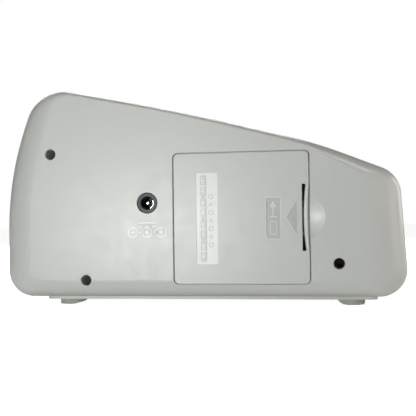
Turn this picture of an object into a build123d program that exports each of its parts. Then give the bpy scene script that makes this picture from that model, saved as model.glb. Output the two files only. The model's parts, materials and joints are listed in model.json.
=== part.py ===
from build123d import *
import os
from math import cos, hypot, pi, radians, sin, sqrt, tan

# Desk-top punch time clock. Millimetres. +Z is up, the front with the display, keys and
# ribbon door faces -Y, and the back with the battery door and the power socket faces +Y.
# The origin is on the table, under the middle of the casing.

# ---------------------------------------------------------------- casing, overall
WIDTH = 197.0              # side to side, at the widest level
DEPTH = 74.0               # key caps to battery door
FOOT_HEIGHT = 2.6          # table to the base pad
PAD_HEIGHT = 1.4           # base pad below the casing's floor
WALL = 2.2                 # casing wall
KEY_STAND = 1.5            # key caps ahead of the front face
JOINT_FROM_BACK = 28.0     # back face to the joint between the two shells

# Side view corners of the casing, before they are rounded: heights above the table, and
# distances in from the widest level of that side.
TALL_BREAK_HEIGHT = 63.7
TALL_TOP_HEIGHT = 110.1
TALL_TOP_LEAN = 16.1
TOP_BREAK_1 = (8.1, 95.0)
TOP_BREAK_2 = (-56.6, 77.6)
LOW_TOP_HEIGHT = 61.8
LOW_TOP_LEAN = 2.8
LOW_BASE_FLARE = 1.0
CORNER_RADII = [13.0, 160.0, 20.5, 1300.0, 245.0, 14.0, 13.0]
FLAT_CORNER_RADII = [7.0, 144.0, 9.0, 800.0, 110.0, 6.0, 6.0]

# How far the flat back face stops short of each side, at the side's two ends.
BACK_ROUNDING = [
    (16.0, 16.0), (16.0, 15.0), (3.0, 2.8), (2.8, 3.5), (3.5, 10.0), (16.5, 16.5), (9.0, 9.0),
]
BACK_ROUND_DEPTH = 14.0
FRONT_ROUNDING = [(5.0, 5.0)] * 7
FRONT_ROUND_DEPTH = 6.0
ROUND_STEPS = 6

BASE_PAD_TALL_IN = 19.0    # base pad in from the tall side and from the low side
BASE_PAD_LOW_IN = 13.6
BASE_PAD_BACK_IN = 13.0
BASE_PAD_FRONT_IN = 9.0
BASE_PAD_CORNER = 4.0

# ---------------------------------------------------------------- feet
FOOT_RADIUS = 6.7
FOOT_EDGE_RADIUS = 1.1
FOOT_TALL_IN = 31.2        # foot centre in from the tall side and from the low side
FOOT_LOW_IN = 26.2
FOOT_BACK_IN = 20.0        # back feet centre in from the back face
FOOT_FRONT_IN = 15.0
FOOT_STUD_RADIUS = 1.8
FOOT_STUD_LENGTH = 3.4
PRESS_GAP = 0.05

# ---------------------------------------------------------------- case screws
CASE_SCREWS = [(71.95, 74.4), (54.25, 12.8), (-67.15, 20.4)]
SCREW_WELL_RADIUS = 2.6
BACK_BOSS_RADIUS = 4.6
FRONT_BOSS_RADIUS = 4.0
SCREW_FLOOR = 2.5
SCREW_FLOOR_AHEAD = 1.5    # boss floor from the shell joint
SCREW_HEAD_RADIUS = 2.45
SCREW_HEAD_HEIGHT = 1.9
SCREW_RADIUS = 1.4
SCREW_LENGTH = 13.0
SCREW_PILOT_GAP = 0.05
SCREW_PASS_GAP = 0.2
BOSS_WEB = 2.0
BOSS_LENGTH = 14.5
CROSS_SLOT = 0.6
MOUTH_CHAMFER = 0.3        # edges of the openings in the back face

# ---------------------------------------------------------------- battery compartment
CELL_LENGTH = 50.5
CELL_RADIUS = 7.1
CELL_PITCH = 14.7
CELL_COUNT = 4
CELL_TIP_RADIUS = 2.6
CELL_TIP = 1.2
CONTACT_ROOM = 5.3
BAY_CENTRE_X = -21.7
BAY_CENTRE_Z = 42.0
BAY_LEDGE = 1.9
BAY_WALL = 2.5
BAY_FLOOR = 1.6
CELL_GAP = 0.5
SADDLE_HEIGHT = 3.0
SADDLE_WIDTH = 2.0
CONTACT_THICKNESS = 0.35
CONTACT_WIDTH = 9.0

# ---------------------------------------------------------------- battery door
DOOR_THICKNESS = 2.0
DOOR_GAP = 0.4
DOOR_CORNER = 2.2
DOOR_HINGE_IN = 0.4        # hinge line in from the door's edge
TAB_REACH = 2.4
TAB_WIDTH = 8.0
TAB_THICKNESS = 1.2
TAB_SPACING = 38.0
TAB_ROOT = 3.0             # tab's root in from the edge of its door
TAB_NECK = 1.8             # thickness of the neck that joins tab and door
TAB_GAP = 0.3
TAB_LIFT = 0.1             # tab clear of the lintel it hooks under
DOOR_CHAMFER = 0.25
LATCH_LENGTH = 31.0
LATCH_SLIT = 0.7           # slit at its narrowest, in the middle
LATCH_TONGUE = 1.5         # tongue at its ends
LATCH_BOW = 1.0            # how far the tongue bows into the slit
LATCH_RELIEF = 0.6         # how far its outer edge bows in
SCALLOP_LENGTH = 20.3
SCALLOP_REACH = 7.1
SCALLOP_DEPTH = 1.5        # finger scallop at the middle of its dish
LABEL_SIZE = (10.6, 43.7)
LABEL_CENTRE = (-5.8, 42.2)
LABEL_RECESS = 0.25
LABEL_CORNER = 0.6
NOTE_RECESS = 0.3
NOTE_SIZE = (6.5, 19.2)
NOTE_CENTRE = (-37.1, 41.8)
ARROW_TIP = (-43.5, 42.0)
ARROW_LENGTH = 4.6
ARROW_WIDTH = 15.3
ARROW_RECESS = 0.45

# ---------------------------------------------------------------- power socket
JACK_X = 23.35
JACK_Z = 49.8
JACK_COLLAR_RADIUS = 5.0
JACK_BORE_RADIUS = 3.0
JACK_PIN_RADIUS = 1.0
JACK_BODY = (9.0, 11.0)
JACK_LENGTH = 13.5
JACK_BORE_DEPTH = 10.0
JACK_RIB = 1.6
JACK_CONTACT_DROP = 0.6    # middle of the sleeve contact below the pin
JACK_CONTACT_WIDTH = 3.6
JACK_CONTACT_IN = 1.6      # contact's end in from the back face

# ---------------------------------------------------------------- card path
CARD_SLOT_X = 23.0
CARD_SLOT_WIDTH = 88.0
CARD_SLOT_FROM_FRONT = 27.0  # front face to the card's own plane
CARD_GAP = 4.8
BEZEL_MARGIN = 3.5
BEZEL_DEPTH = 4.2
BEZEL_FIT = 0.1
FUNNEL_STEP = 1.5
FUNNEL_DEPTH = 1.4
PLATE = 1.2                # sheet steel
PLATE_BASE = 18.0
FRAME_LOW_X = -29.0
FRAME_HIGH_X = 75.5
FRAME_POSTS = [(-24.5, 24.0), (-24.5, 67.3), (71.5, 26.0), (71.5, 60.0)]
POST_RADIUS = 3.0
FRAME_SCREW_RADIUS = 1.2
FRAME_SCREW_HEAD = 2.4
FRAME_SCREW_REACH = 4.5
EAR_LOW_X = -10.2
EAR_HIGH_X = 66.3
EAR_DEPTH = 17.9
EAR_HEIGHTS = (34.5, 77.5)

# ---------------------------------------------------------------- print carriage
HEAD_Z = 49.0
HEAD_REST_X = 8.0
HEAD_TRAVEL = 43.0
HEAD_WIDTH = 12.0
HEAD_HEIGHT = 12.0
HEAD_BACK = 8.5            # print head's back face ahead of the card plane
NOSE_LENGTH = 3.5
NOSE_SIZE = (4.0, 6.0)
HEAD_ROOM = 2.0            # frame window beyond the head's travel
CARRIAGE_WIDTH = 18.0
SHAFT_RADIUS = 2.0
SHAFT_OFFSET = 10.0        # each guide shaft above and below the head
SHAFT_AHEAD = 12.5         # guide shafts ahead of the card plane
RUN_GAP = 0.05             # radial running clearance
PULLEY_RADIUS = 4.0
PULLEY_FLANGE = 5.6
PULLEY_Z = 69.5
IDLER_X = -3.0
MOTOR_X = 60.3
BELT_THICKNESS = 1.0
BELT_WIDTH = 3.4
BELT_ROOM = 0.3            # clamp's jaw round the belt
BELT_AHEAD = 18.9          # belt's middle ahead of the card plane
DRIVE_PLATE_AHEAD = 15.1   # drive plate's back face ahead of the card plane
MOTOR_RADIUS = 5.0
MOTOR_LENGTH = 6.4

# ---------------------------------------------------------------- ribbon cassette
CASSETTE_X = (-6.0, 64.0)
CASSETTE_Z = (18.5, 33.0)
CASSETTE_AHEAD = 21.0      # front face ahead of the card plane
CASSETTE_ROOM = 0.2        # back face clear of the frame
CASSETTE_WALL = 1.2
CASSETTE_ARM = 4.5
RIBBON_HEIGHT = 9.0
RIBBON_THICKNESS = 0.2
RIBBON_AHEAD = 4.5
KNOB_X = 50.0
KNOB_RADIUS = 5.0
KNOB_ROOM = 0.4            # knob behind the closed ribbon door

# ---------------------------------------------------------------- card feed
FEED_Z = 72.0
FEED_RADIUS = 6.0
FEED_SHAFT_RADIUS = 2.0
ROLLER_WIDTH = 10.0
ROLLER_XS = [1.0, 43.0]
ROLLER_GAP = 0.2           # each roller off the card plane
PINCH_SHAFT_RADIUS = 1.25
PINCH_ROOM = 0.35          # pinch shaft clear of the frame
ROLLER_ROOM = 0.8          # frame windows beyond the rollers
GEAR_MODULE = 0.6
GEAR_TEETH = 24
PINION_TEETH = 12
GEAR_WIDTH = 2.6
GEAR_SPREAD = 0.1          # extra centre distance
TOOTH_SHARE = 0.37         # tooth thickness as a share of the pitch
PINION_ANGLE = -40.0
FEED_MOTOR_RADIUS = 7.4
FEED_MOTOR_LENGTH = 17.0

LEVER_X = -18.0
LEVER_Z = 44.0
LEVER_BACK = 3.6           # lever pin behind the card gap
LEVER_WIDTH = 2.0
LEVER_ROOM = (1.5, 9.5)    # frame window below and above the lever's pin
LEVER_SIDE_GAP = 0.2
LEVER_CHEEK = 1.2
LEVER_PIN_RADIUS = 0.5

# ---------------------------------------------------------------- display and keys
WINDOW_X = (-85.0, -30.0)
WINDOW_Z = (31.0, 57.0)
WINDOW_THICKNESS = 1.5
WINDOW_LIP = 1.6
LCD_X = (-82.0, -33.0)
LCD_Z = (32.8, 55.2)
LCD_FRAME_WALL = 1.8
LCD_VIEW = (43.0, 15.0)
LCD_LIP = 1.0              # bezel ahead of the glass
LCD_GLASS = 2.5            # both glass plates together
STRIP_WIDTH = 2.0
BOARD_FROM_FRONT = 10.9    # front face to the board's front
BOARD_THICKNESS = 1.6
BOARD_X = (-91.0, -30.0)
BOARD_Z = (8.8, 66.0)
BOARD_EDGE = 6.5
BOARD_POSTS = [(-88.0, 27.5), (-34.0, 63.0), (-70.0, 61.5), (-56.2, 11.4)]
BOARD_POST_RADIUS = 2.2
BOARD_SCREW_RADIUS = 0.95
BOARD_SCREW_HEAD = 1.9
BOARD_SCREW_HEAD_HEIGHT = 1.2
BOARD_SCREW_LENGTH = 6.0
KEY_XS = [-78.0, -63.5, -49.0, -34.5]
KEY_NAMES = ["mode_key", "set_key", "down_key", "up_key"]
KEY_Z = 20.0
KEY_SIZE = (11.0, 6.6)
KEY_GAP = 0.25
KEY_CORNER = 1.3
KEY_EDGE = 0.45
KEY_FLANGE = 0.6
KEY_STEM_RADIUS = 1.6
KEY_TRAVEL = 1.0
SWITCH_SIZE = 6.0
SWITCH_HEIGHT = 3.5
PLUNGER_RADIUS = 1.7
PLUNGER_HEIGHT = 1.2

# ---------------------------------------------------------------- parts on the main board
CONTROLLER_PLACE = (-60.0, 46.0)
CONTROLLER_SIZE = 12.0
CONTROLLER_LEGS = 10       # on each of four sides
DRIVER_PLACES = [(-41.0, 52.0), (-41.0, 38.0)]
DRIVER_SIZE = (4.0, 9.0)
DRIVER_LEGS = 7            # on each of two sides
CHIP_STAND = 0.15
CHIP_HEIGHT = 1.7
LEG_REACH = 0.9
LEG_WIDTH = 0.4
LEG_HEIGHT = 0.5
LEG_EDGE = 0.8
CAPACITOR_PLACES = [(-48.5, 60.0), (-57.0, 60.0)]
CAPACITOR_RADIUS = 3.15
CAPACITOR_HEIGHT = 9.0
CRYSTAL_PLACE = (-72.0, 51.5)
CRYSTAL_SIZE = (7.5, 3.0)
CRYSTAL_HEIGHT = 2.6
BACKUP_PLACE = (-50.0, 24.0)
BACKUP_RADIUS = 10.0
BACKUP_THICKNESS = 3.1
BACKUP_FLOOR = 0.9
BACKUP_RIM = 1.3
BACKUP_OPENING = 12.0
BUZZER_PLACE = (-80.0, 40.0)
BUZZER_RADIUS = 6.0
BUZZER_HEIGHT = 6.5
BUZZER_HOLE = (1.0, 1.5)   # radius and depth of its sound hole
HEADER_X = (-36.0, -31.2)
HEADERS = [(14.5, 3), (44.0, 4), (56.0, 3)]
HEADER_HEIGHT = 5.6
HEADER_WALL = 0.8
HEADER_FLOOR = 1.2
PIN_PITCH = 2.5
PIN_SIZE = 0.6

# ---------------------------------------------------------------- ribbon door
RIBBON_DOOR_X = (-8.0, 66.0)
RIBBON_DOOR_Z = (16.0, 79.0)
RIBBON_DOOR_GAP = 0.4
RIBBON_DOOR_CORNER = 4.0
RIBBON_TAB_SPACING = 40.0
THUMB_LENGTH = 20.3        # thumb scallop above the door
THUMB_HEIGHT = 3.2
THUMB_DEPTH = 1.3
GRIP_GROOVES = 2
GRIP_WIDTH = 16.0
GRIP_PITCH = 2.0
GRIP_DEPTH = 0.6
GRIP_EDGE = 2.6            # first groove below the door's top edge

# ---------------------------------------------------------------- levels worked out from the sizes above
HALF = WIDTH / 2
BACK = DEPTH / 2
FRONT = -DEPTH / 2 + KEY_STAND
JOINT = BACK - JOINT_FROM_BACK
FLOOR = FOOT_HEIGHT + PAD_HEIGHT
FRONT_IN = FRONT + WALL
CARD_Y = FRONT + CARD_SLOT_FROM_FRONT
GAP_FRONT = CARD_Y - CARD_GAP / 2
GAP_BACK = CARD_Y + CARD_GAP / 2
SCREW_SEAT = JOINT + SCREW_FLOOR_AHEAD + SCREW_FLOOR
BAY_X = CELL_LENGTH / 2 + CONTACT_ROOM
BAY_Z = CELL_PITCH * CELL_COUNT / 2
DOOR_X = BAY_X + BAY_LEDGE
DOOR_Z = BAY_Z + BAY_LEDGE
DOOR_BACK = BACK - DOOR_THICKNESS
CELL_Y = DOOR_BACK - CELL_GAP - CELL_RADIUS
BAY_DEPTH_Y = CELL_Y - CELL_RADIUS - CELL_GAP
HINGE_X = BAY_CENTRE_X + DOOR_X - DOOR_HINGE_IN
BOARD_Y = FRONT + BOARD_FROM_FRONT
BOARD_BACK = BOARD_Y + BOARD_THICKNESS
SLOT_LOW = CARD_SLOT_X - CARD_SLOT_WIDTH / 2
SLOT_HIGH = CARD_SLOT_X + CARD_SLOT_WIDTH / 2
SHAFT_Y = CARD_Y - SHAFT_AHEAD
BELT_Y = CARD_Y - BELT_AHEAD
DRIVE_PLATE_Y = CARD_Y - DRIVE_PLATE_AHEAD
FEED_Y = CARD_Y + ROLLER_GAP + FEED_RADIUS
PINCH_RADIUS = CARD_GAP / 2 + PLATE + PINCH_ROOM + PINCH_SHAFT_RADIUS - ROLLER_GAP
PINCH_Y = CARD_Y - ROLLER_GAP - PINCH_RADIUS
GEAR_DISTANCE = GEAR_MODULE * (GEAR_TEETH + PINION_TEETH) / 2 + GEAR_SPREAD
PINION_Y = FEED_Y + GEAR_DISTANCE * cos(radians(PINION_ANGLE))
PINION_Z = FEED_Z + GEAR_DISTANCE * sin(radians(PINION_ANGLE))
LEVER_Y = GAP_BACK + LEVER_BACK
CASSETTE_BACK = GAP_FRONT - PLATE - CASSETTE_ROOM
CASSETTE_FRONT = CARD_Y - CASSETTE_AHEAD
KNOB_Z = (CASSETTE_Z[0] + CASSETTE_Z[1]) / 2
KNOB_FRONT = FRONT_IN + KNOB_ROOM
RIBBON_BACK = CARD_Y - RIBBON_AHEAD
OVER = 1.0                 # how far cuts run past the surface they open


# ---------------------------------------------------------------- drawing helpers
def block(x, y, z):
    """Box between two X, two Y and two Z levels."""
    size = [abs(pair[1] - pair[0]) for pair in (x, y, z)]
    middle = [(pair[0] + pair[1]) / 2 for pair in (x, y, z)]
    return Pos(*middle) * Box(*size)


def across(profile, y_low, y_high):
    """Profile drawn in X and Z, solid from one depth to another."""
    plane = Plane(origin=(0, y_high, 0), x_dir=(1, 0, 0), z_dir=(0, -1, 0))
    return extrude(plane * profile, amount=y_high - y_low)


def sideways(profile, x_low, x_high):
    """Profile drawn in Y and Z, solid from one side position to another."""
    plane = Plane(origin=(x_low, 0, 0), x_dir=(0, 1, 0), z_dir=(1, 0, 0))
    return extrude(plane * profile, amount=x_high - x_low)


def disc(a, b, radius):
    """Round profile about a point of a drawing plane."""
    return Pos(a, b) * Circle(radius)


def rod_y(x, z, radius, y_low, y_high):
    return across(disc(x, z, radius), y_low, y_high)


def rod_x(y, z, radius, x_low, x_high):
    return sideways(disc(y, z, radius), x_low, x_high)


def panel(x, z, corner):
    """Rectangle in X and Z with rounded corners."""
    middle = Pos((x[0] + x[1]) / 2, (z[0] + z[1]) / 2)
    return middle * RectangleRounded(x[1] - x[0], z[1] - z[0], corner)


def polygon(points):
    return make_face(Polyline(*points, close=True))


def side_corners():
    """The casing's corners seen from the back, from the tall side's base, before rounding."""
    return [
        (HALF, FLOOR),
        (HALF, TALL_BREAK_HEIGHT),
        (HALF - TALL_TOP_LEAN, TALL_TOP_HEIGHT),
        TOP_BREAK_1,
        TOP_BREAK_2,
        (-HALF + LOW_TOP_LEAN, LOW_TOP_HEIGHT),
        (-HALF - LOW_BASE_FLARE, FLOOR),
    ]


def crossing(first, second):
    """Point where two lines meet, each given by two points."""
    (ax, az), (bx, bz) = first
    (cx, cz), (dx, dz) = second
    ux, uz, vx, vz = bx - ax, bz - az, dx - cx, dz - cz
    share = ((cx - ax) * vz - (cz - az) * vx) / (ux * vz - uz * vx)
    return (ax + ux * share, az + uz * share)


def rounded_outline(points, radii):
    """Closed outline of straight sides and one tangent arc at each corner."""
    count = len(points)
    stations = []
    for i in range(count):
        before, here, after = points[i - 1], points[i], points[(i + 1) % count]
        back_x, back_z = before[0] - here[0], before[1] - here[1]
        next_x, next_z = after[0] - here[0], after[1] - here[1]
        back_length, next_length = hypot(back_x, back_z), hypot(next_x, next_z)
        back_x, back_z = back_x / back_length, back_z / back_length
        next_x, next_z = next_x / next_length, next_z / next_length
        half_sine = sqrt((1 - (back_x * next_x + back_z * next_z)) / 2)
        half_cosine = sqrt(1 - half_sine * half_sine)
        reach = radii[i] * half_cosine / half_sine
        middle_x, middle_z = back_x + next_x, back_z + next_z
        middle_length = hypot(middle_x, middle_z)
        sag = radii[i] / half_sine - radii[i]
        stations.append((
            (here[0] + back_x * reach, here[1] + back_z * reach),
            (here[0] + middle_x / middle_length * sag, here[1] + middle_z / middle_length * sag),
            (here[0] + next_x * reach, here[1] + next_z * reach),
        ))
    edges = []
    for i in range(count):
        edges.append(ThreePointArc(*stations[i]))
        edges.append(Line(stations[i][2], stations[(i + 1) % count][0]))
    return make_face(edges)


def casing_outline(insets, radii):
    """Casing outline with each side moved in by a distance at each of its ends."""
    corners = side_corners()
    lines = []
    for i, (start, end) in enumerate(insets):
        (ax, az), (bx, bz) = corners[i], corners[(i + 1) % len(corners)]
        length = hypot(bx - ax, bz - az)
        in_x, in_z = -(bz - az) / length, (bx - ax) / length
        lines.append(((ax + in_x * start, az + in_z * start), (bx + in_x * end, bz + in_z * end)))
    points = [crossing(lines[i - 1], lines[i]) for i in range(len(lines))]
    return rounded_outline(points, radii)


def even_outline(inset):
    """Casing outline moved in by the same distance all round."""
    radii = [max(radius - inset, 1.0) for radius in CORNER_RADII]
    return casing_outline([(inset, inset)] * len(CORNER_RADII), radii)


def rounded_end(flat_y, full_y, rounding, wall):
    """The part of the casing between a flat end face and the level where it is full size."""
    sections = []
    for step in range(ROUND_STEPS + 1):
        angle = pi / 2 * step / ROUND_STEPS
        share = 1 - sin(angle)
        y = flat_y + (full_y - flat_y) * (1 - cos(angle))
        insets = [[wall + max(end - wall, 0.3) * share for end in side] for side in rounding]
        radii = []
        for full, flat in zip(CORNER_RADII, FLAT_CORNER_RADII):
            radii.append(max(full - wall - (full - flat) * share, 1.5))
        plane = Plane(origin=(0, y, 0), x_dir=(1, 0, 0), z_dir=(0, -1, 0))
        sections.append(plane * casing_outline(insets, radii))
    return loft(sections)


def back_form(wall, joint):
    """Solid outer or inner form of the back shell."""
    full = BACK - BACK_ROUND_DEPTH
    return rounded_end(BACK - wall, full, BACK_ROUNDING, wall) + across(even_outline(wall), joint, full)


def front_form(wall, joint):
    """Solid outer or inner form of the front shell."""
    full = FRONT + FRONT_ROUND_DEPTH
    return rounded_end(FRONT + wall, full, FRONT_ROUNDING, wall) + across(even_outline(wall), full, joint)


def base_pad(y_low, y_high):
    """Slab under the casing's floor, from one depth to another."""
    slab = block((-HALF + BASE_PAD_LOW_IN, HALF - BASE_PAD_TALL_IN),
                 (FRONT + BASE_PAD_FRONT_IN, BACK - BASE_PAD_BACK_IN),
                 (FOOT_HEIGHT, FLOOR + OVER))
    slab = fillet(slab.edges().filter_by(Axis.Z), BASE_PAD_CORNER)
    return slab & block((-WIDTH, WIDTH), (y_low, y_high), (0, FLOOR + OVER))


def feet_places():
    """Side position, depth and outward side of the four feet."""
    places = []
    for x, side in ((HALF - FOOT_TALL_IN, 1), (-HALF + FOOT_LOW_IN, -1)):
        for y in (BACK - FOOT_BACK_IN, FRONT + FOOT_FRONT_IN):
            places.append((x, y, side))
    return places


def foot_holes():
    holes = []
    for x, y, side in feet_places():
        stud = Cylinder(FOOT_STUD_RADIUS + PRESS_GAP, FLOOR + WALL + OVER)
        holes.append(Pos(x, y, (FLOOR + WALL + OVER) / 2) * stud)
    return holes


# ---------------------------------------------------------------- casing
def rear_shell():
    outer = back_form(0.0, JOINT)
    shell = outer - back_form(WALL, JOINT - OVER)
    shell = shell + base_pad(JOINT, BACK)
    bay_x = (BAY_CENTRE_X - BAY_X, BAY_CENTRE_X + BAY_X)
    bay_z = (BAY_CENTRE_Z - BAY_Z, BAY_CENTRE_Z + BAY_Z)
    inside = []
    for x, z in CASE_SCREWS:
        inside.append(rod_y(x, z, BACK_BOSS_RADIUS, JOINT + SCREW_FLOOR_AHEAD, BACK))
    inside.append(block((bay_x[0] - BAY_WALL, bay_x[1] + BAY_WALL),
                        (BAY_DEPTH_Y - BAY_FLOOR, BACK - WALL / 2),
                        (bay_z[0] - BAY_WALL, bay_z[1] + BAY_WALL)))
    rib_inner = JACK_BODY[0] / 2 + BEZEL_FIT
    for side in (-1, 1):
        inside.append(block((JACK_X + side * rib_inner, JACK_X + side * (rib_inner + JACK_RIB)),
                            (BACK - JACK_LENGTH, BACK - WALL / 2),
                            (JACK_Z - JACK_BODY[1] / 2, JACK_Z + JACK_BODY[1] / 2)))
    for piece in inside:
        shell = shell + (piece & outer)
    door_x = (BAY_CENTRE_X - DOOR_X, BAY_CENTRE_X + DOOR_X)
    door_z = (BAY_CENTRE_Z - DOOR_Z, BAY_CENTRE_Z + DOOR_Z)
    shell = shell - across(panel(door_x, door_z, DOOR_CORNER + DOOR_GAP), DOOR_BACK, BACK + OVER)
    shell = shell - flared_panel(door_x, door_z, DOOR_CORNER + DOOR_GAP)
    shell = shell - block(bay_x, (BAY_DEPTH_Y, BACK), bay_z)
    shell = shell + bay_saddles(bay_x)
    for x, z in CASE_SCREWS:
        shell = shell - rod_y(x, z, SCREW_WELL_RADIUS, SCREW_SEAT, BACK + OVER)
        shell = shell - flared_mouth(x, z, SCREW_WELL_RADIUS)
        shell = shell - rod_y(x, z, SCREW_RADIUS + SCREW_PASS_GAP, JOINT, SCREW_SEAT + OVER)
    shell = shell - rod_y(JACK_X, JACK_Z, JACK_COLLAR_RADIUS + BEZEL_FIT, BACK - WALL - OVER, BACK + OVER)
    for z in tab_places():
        swing = hypot(TAB_REACH + DOOR_HINGE_IN, DOOR_THICKNESS + TAB_GAP + TAB_THICKNESS) + TAB_GAP
        end_x = bay_x[1] + BAY_LEDGE + TAB_REACH
        notch = block((bay_x[1] - OVER, end_x),
                      (BACK - swing, DOOR_BACK + OVER / 2),
                      (z - TAB_WIDTH / 2 - TAB_GAP, z + TAB_WIDTH / 2 + TAB_GAP))
        lintel = block((bay_x[1] + BAY_LEDGE, end_x),
                       (DOOR_BACK - TAB_GAP + TAB_LIFT, DOOR_BACK + OVER),
                       (z - TAB_WIDTH, z + TAB_WIDTH))
        shell = shell - notch + lintel
    shell = shell - finger_dish(door_x[0])
    for hole in foot_holes():
        shell = shell - hole
    return shell


def finger_dish(edge_x):
    """Shallow round dish beside the door's latch, cut off by the door's opening."""
    reach = SCALLOP_LENGTH / 2
    radius = (reach ** 2 + SCALLOP_DEPTH ** 2) / (2 * SCALLOP_DEPTH)
    middle_x = edge_x + reach - SCALLOP_REACH
    return Pos(middle_x, BACK - SCALLOP_DEPTH + radius, BAY_CENTRE_Z) * Sphere(radius)


def flared_mouth(x, z, radius):
    """Cone that takes the edge off a round well in the back face."""
    reach = MOUTH_CHAMFER + OVER
    cone = Cone(radius - OVER, radius + MOUTH_CHAMFER, reach)
    return Pos(x, BACK - reach / 2, z) * Rot(-90, 0, 0) * cone


def flared_panel(x, z, corner):
    """Sloped cut that takes the edge off the door's opening."""
    sections = []
    for y, grown in ((BACK - MOUTH_CHAMFER, 0.0), (BACK, MOUTH_CHAMFER)):
        plane = Plane(origin=(0, y, 0), x_dir=(1, 0, 0), z_dir=(0, -1, 0))
        grown_x = (x[0] - grown, x[1] + grown)
        grown_z = (z[0] - grown, z[1] + grown)
        sections.append(plane * panel(grown_x, grown_z, corner + grown))
    return loft(sections)


def bay_saddles(bay_x):
    """Two ribs across the compartment's floor, hollowed for the cells."""
    saddles = []
    for share in (0.25, 0.75):
        x = bay_x[0] + (bay_x[1] - bay_x[0]) * share
        rib = block((x - SADDLE_WIDTH / 2, x + SADDLE_WIDTH / 2),
                    (BAY_DEPTH_Y, BAY_DEPTH_Y + SADDLE_HEIGHT),
                    (BAY_CENTRE_Z - BAY_Z, BAY_CENTRE_Z + BAY_Z))
        for z in cell_heights():
            rib = rib - rod_x(CELL_Y, z, CELL_RADIUS + CELL_GAP / 2, x - SADDLE_WIDTH, x + SADDLE_WIDTH)
        saddles += rib.solids()
    return Compound(saddles) if len(saddles) > 1 else saddles[0]


def tab_places():
    return [BAY_CENTRE_Z - TAB_SPACING / 2, BAY_CENTRE_Z + TAB_SPACING / 2]


def cell_heights():
    first = BAY_CENTRE_Z - CELL_PITCH * (CELL_COUNT - 1) / 2
    return [first + CELL_PITCH * i for i in range(CELL_COUNT)]


def slot_region(margin, y_margin):
    return block((SLOT_LOW - margin, SLOT_HIGH + margin),
                 (GAP_FRONT - y_margin, GAP_BACK + y_margin),
                 (LOW_TOP_HEIGHT, TALL_TOP_HEIGHT + OVER))


def front_shell():
    outer = front_form(0.0, JOINT)
    shell = outer - front_form(WALL, JOINT + OVER)
    shell = shell + base_pad(FRONT, JOINT)
    boss_end = JOINT + SCREW_FLOOR_AHEAD - BEZEL_FIT
    boss_start = boss_end - BOSS_LENGTH
    for index, (x, z) in enumerate(CASE_SCREWS):
        boss = rod_y(x, z, FRONT_BOSS_RADIUS, boss_start, boss_end)
        web_y = (boss_start, JOINT - BEZEL_FIT)
        if index == 0:
            web = block((x, HALF), web_y, (z - BOSS_WEB / 2, z + BOSS_WEB / 2))
        else:
            web = block((x - BOSS_WEB / 2, x + BOSS_WEB / 2), web_y, (FLOOR, z))
        shell = shell + boss + (web & outer)
        shell = shell - rod_y(x, z, SCREW_RADIUS + SCREW_PILOT_GAP, boss_start - OVER, boss_end + OVER)
    for x, z in FRAME_POSTS:
        shell = shell + rod_y(x, z, POST_RADIUS, FRONT_IN - OVER, GAP_FRONT - PLATE)
        shell = shell - rod_y(x, z, FRAME_SCREW_RADIUS + PRESS_GAP, FRONT_IN + OVER, GAP_FRONT)
    for x, z in BOARD_POSTS:
        shell = shell + rod_y(x, z, BOARD_POST_RADIUS, FRONT_IN - OVER, BOARD_Y)
        shell = shell - rod_y(x, z, BOARD_SCREW_RADIUS + PRESS_GAP, FRONT_IN + OVER, BOARD_Y + OVER)
    shell = shell - slot_region(BEZEL_MARGIN, BEZEL_MARGIN)
    shell = shell - across(panel(WINDOW_X, WINDOW_Z, 2.0), FRONT - OVER, FRONT + WINDOW_THICKNESS)
    sight_x = (WINDOW_X[0] + WINDOW_LIP, WINDOW_X[1] - WINDOW_LIP)
    sight_z = (WINDOW_Z[0] + WINDOW_LIP, WINDOW_Z[1] - WINDOW_LIP)
    shell = shell - across(panel(sight_x, sight_z, 1.5), FRONT - OVER, FRONT_IN + OVER)
    for x in KEY_XS:
        hole = panel((x - KEY_SIZE[0] / 2 - KEY_GAP, x + KEY_SIZE[0] / 2 + KEY_GAP),
                     (KEY_Z - KEY_SIZE[1] / 2 - KEY_GAP, KEY_Z + KEY_SIZE[1] / 2 + KEY_GAP),
                     KEY_CORNER + KEY_GAP)
        shell = shell - across(hole, FRONT - OVER, FRONT_IN + OVER)
    ribbon_opening = panel(RIBBON_DOOR_X, RIBBON_DOOR_Z, RIBBON_DOOR_CORNER)
    shell = shell - across(ribbon_opening, FRONT - OVER, FRONT_IN + OVER)
    thumb = Pos(sum(RIBBON_DOOR_X) / 2, RIBBON_DOOR_Z[1]) * Ellipse(THUMB_LENGTH / 2, THUMB_HEIGHT)
    shell = shell - across(thumb, FRONT - OVER, FRONT + THUMB_DEPTH)
    for hole in foot_holes():
        shell = shell - hole
    return shell


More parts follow.
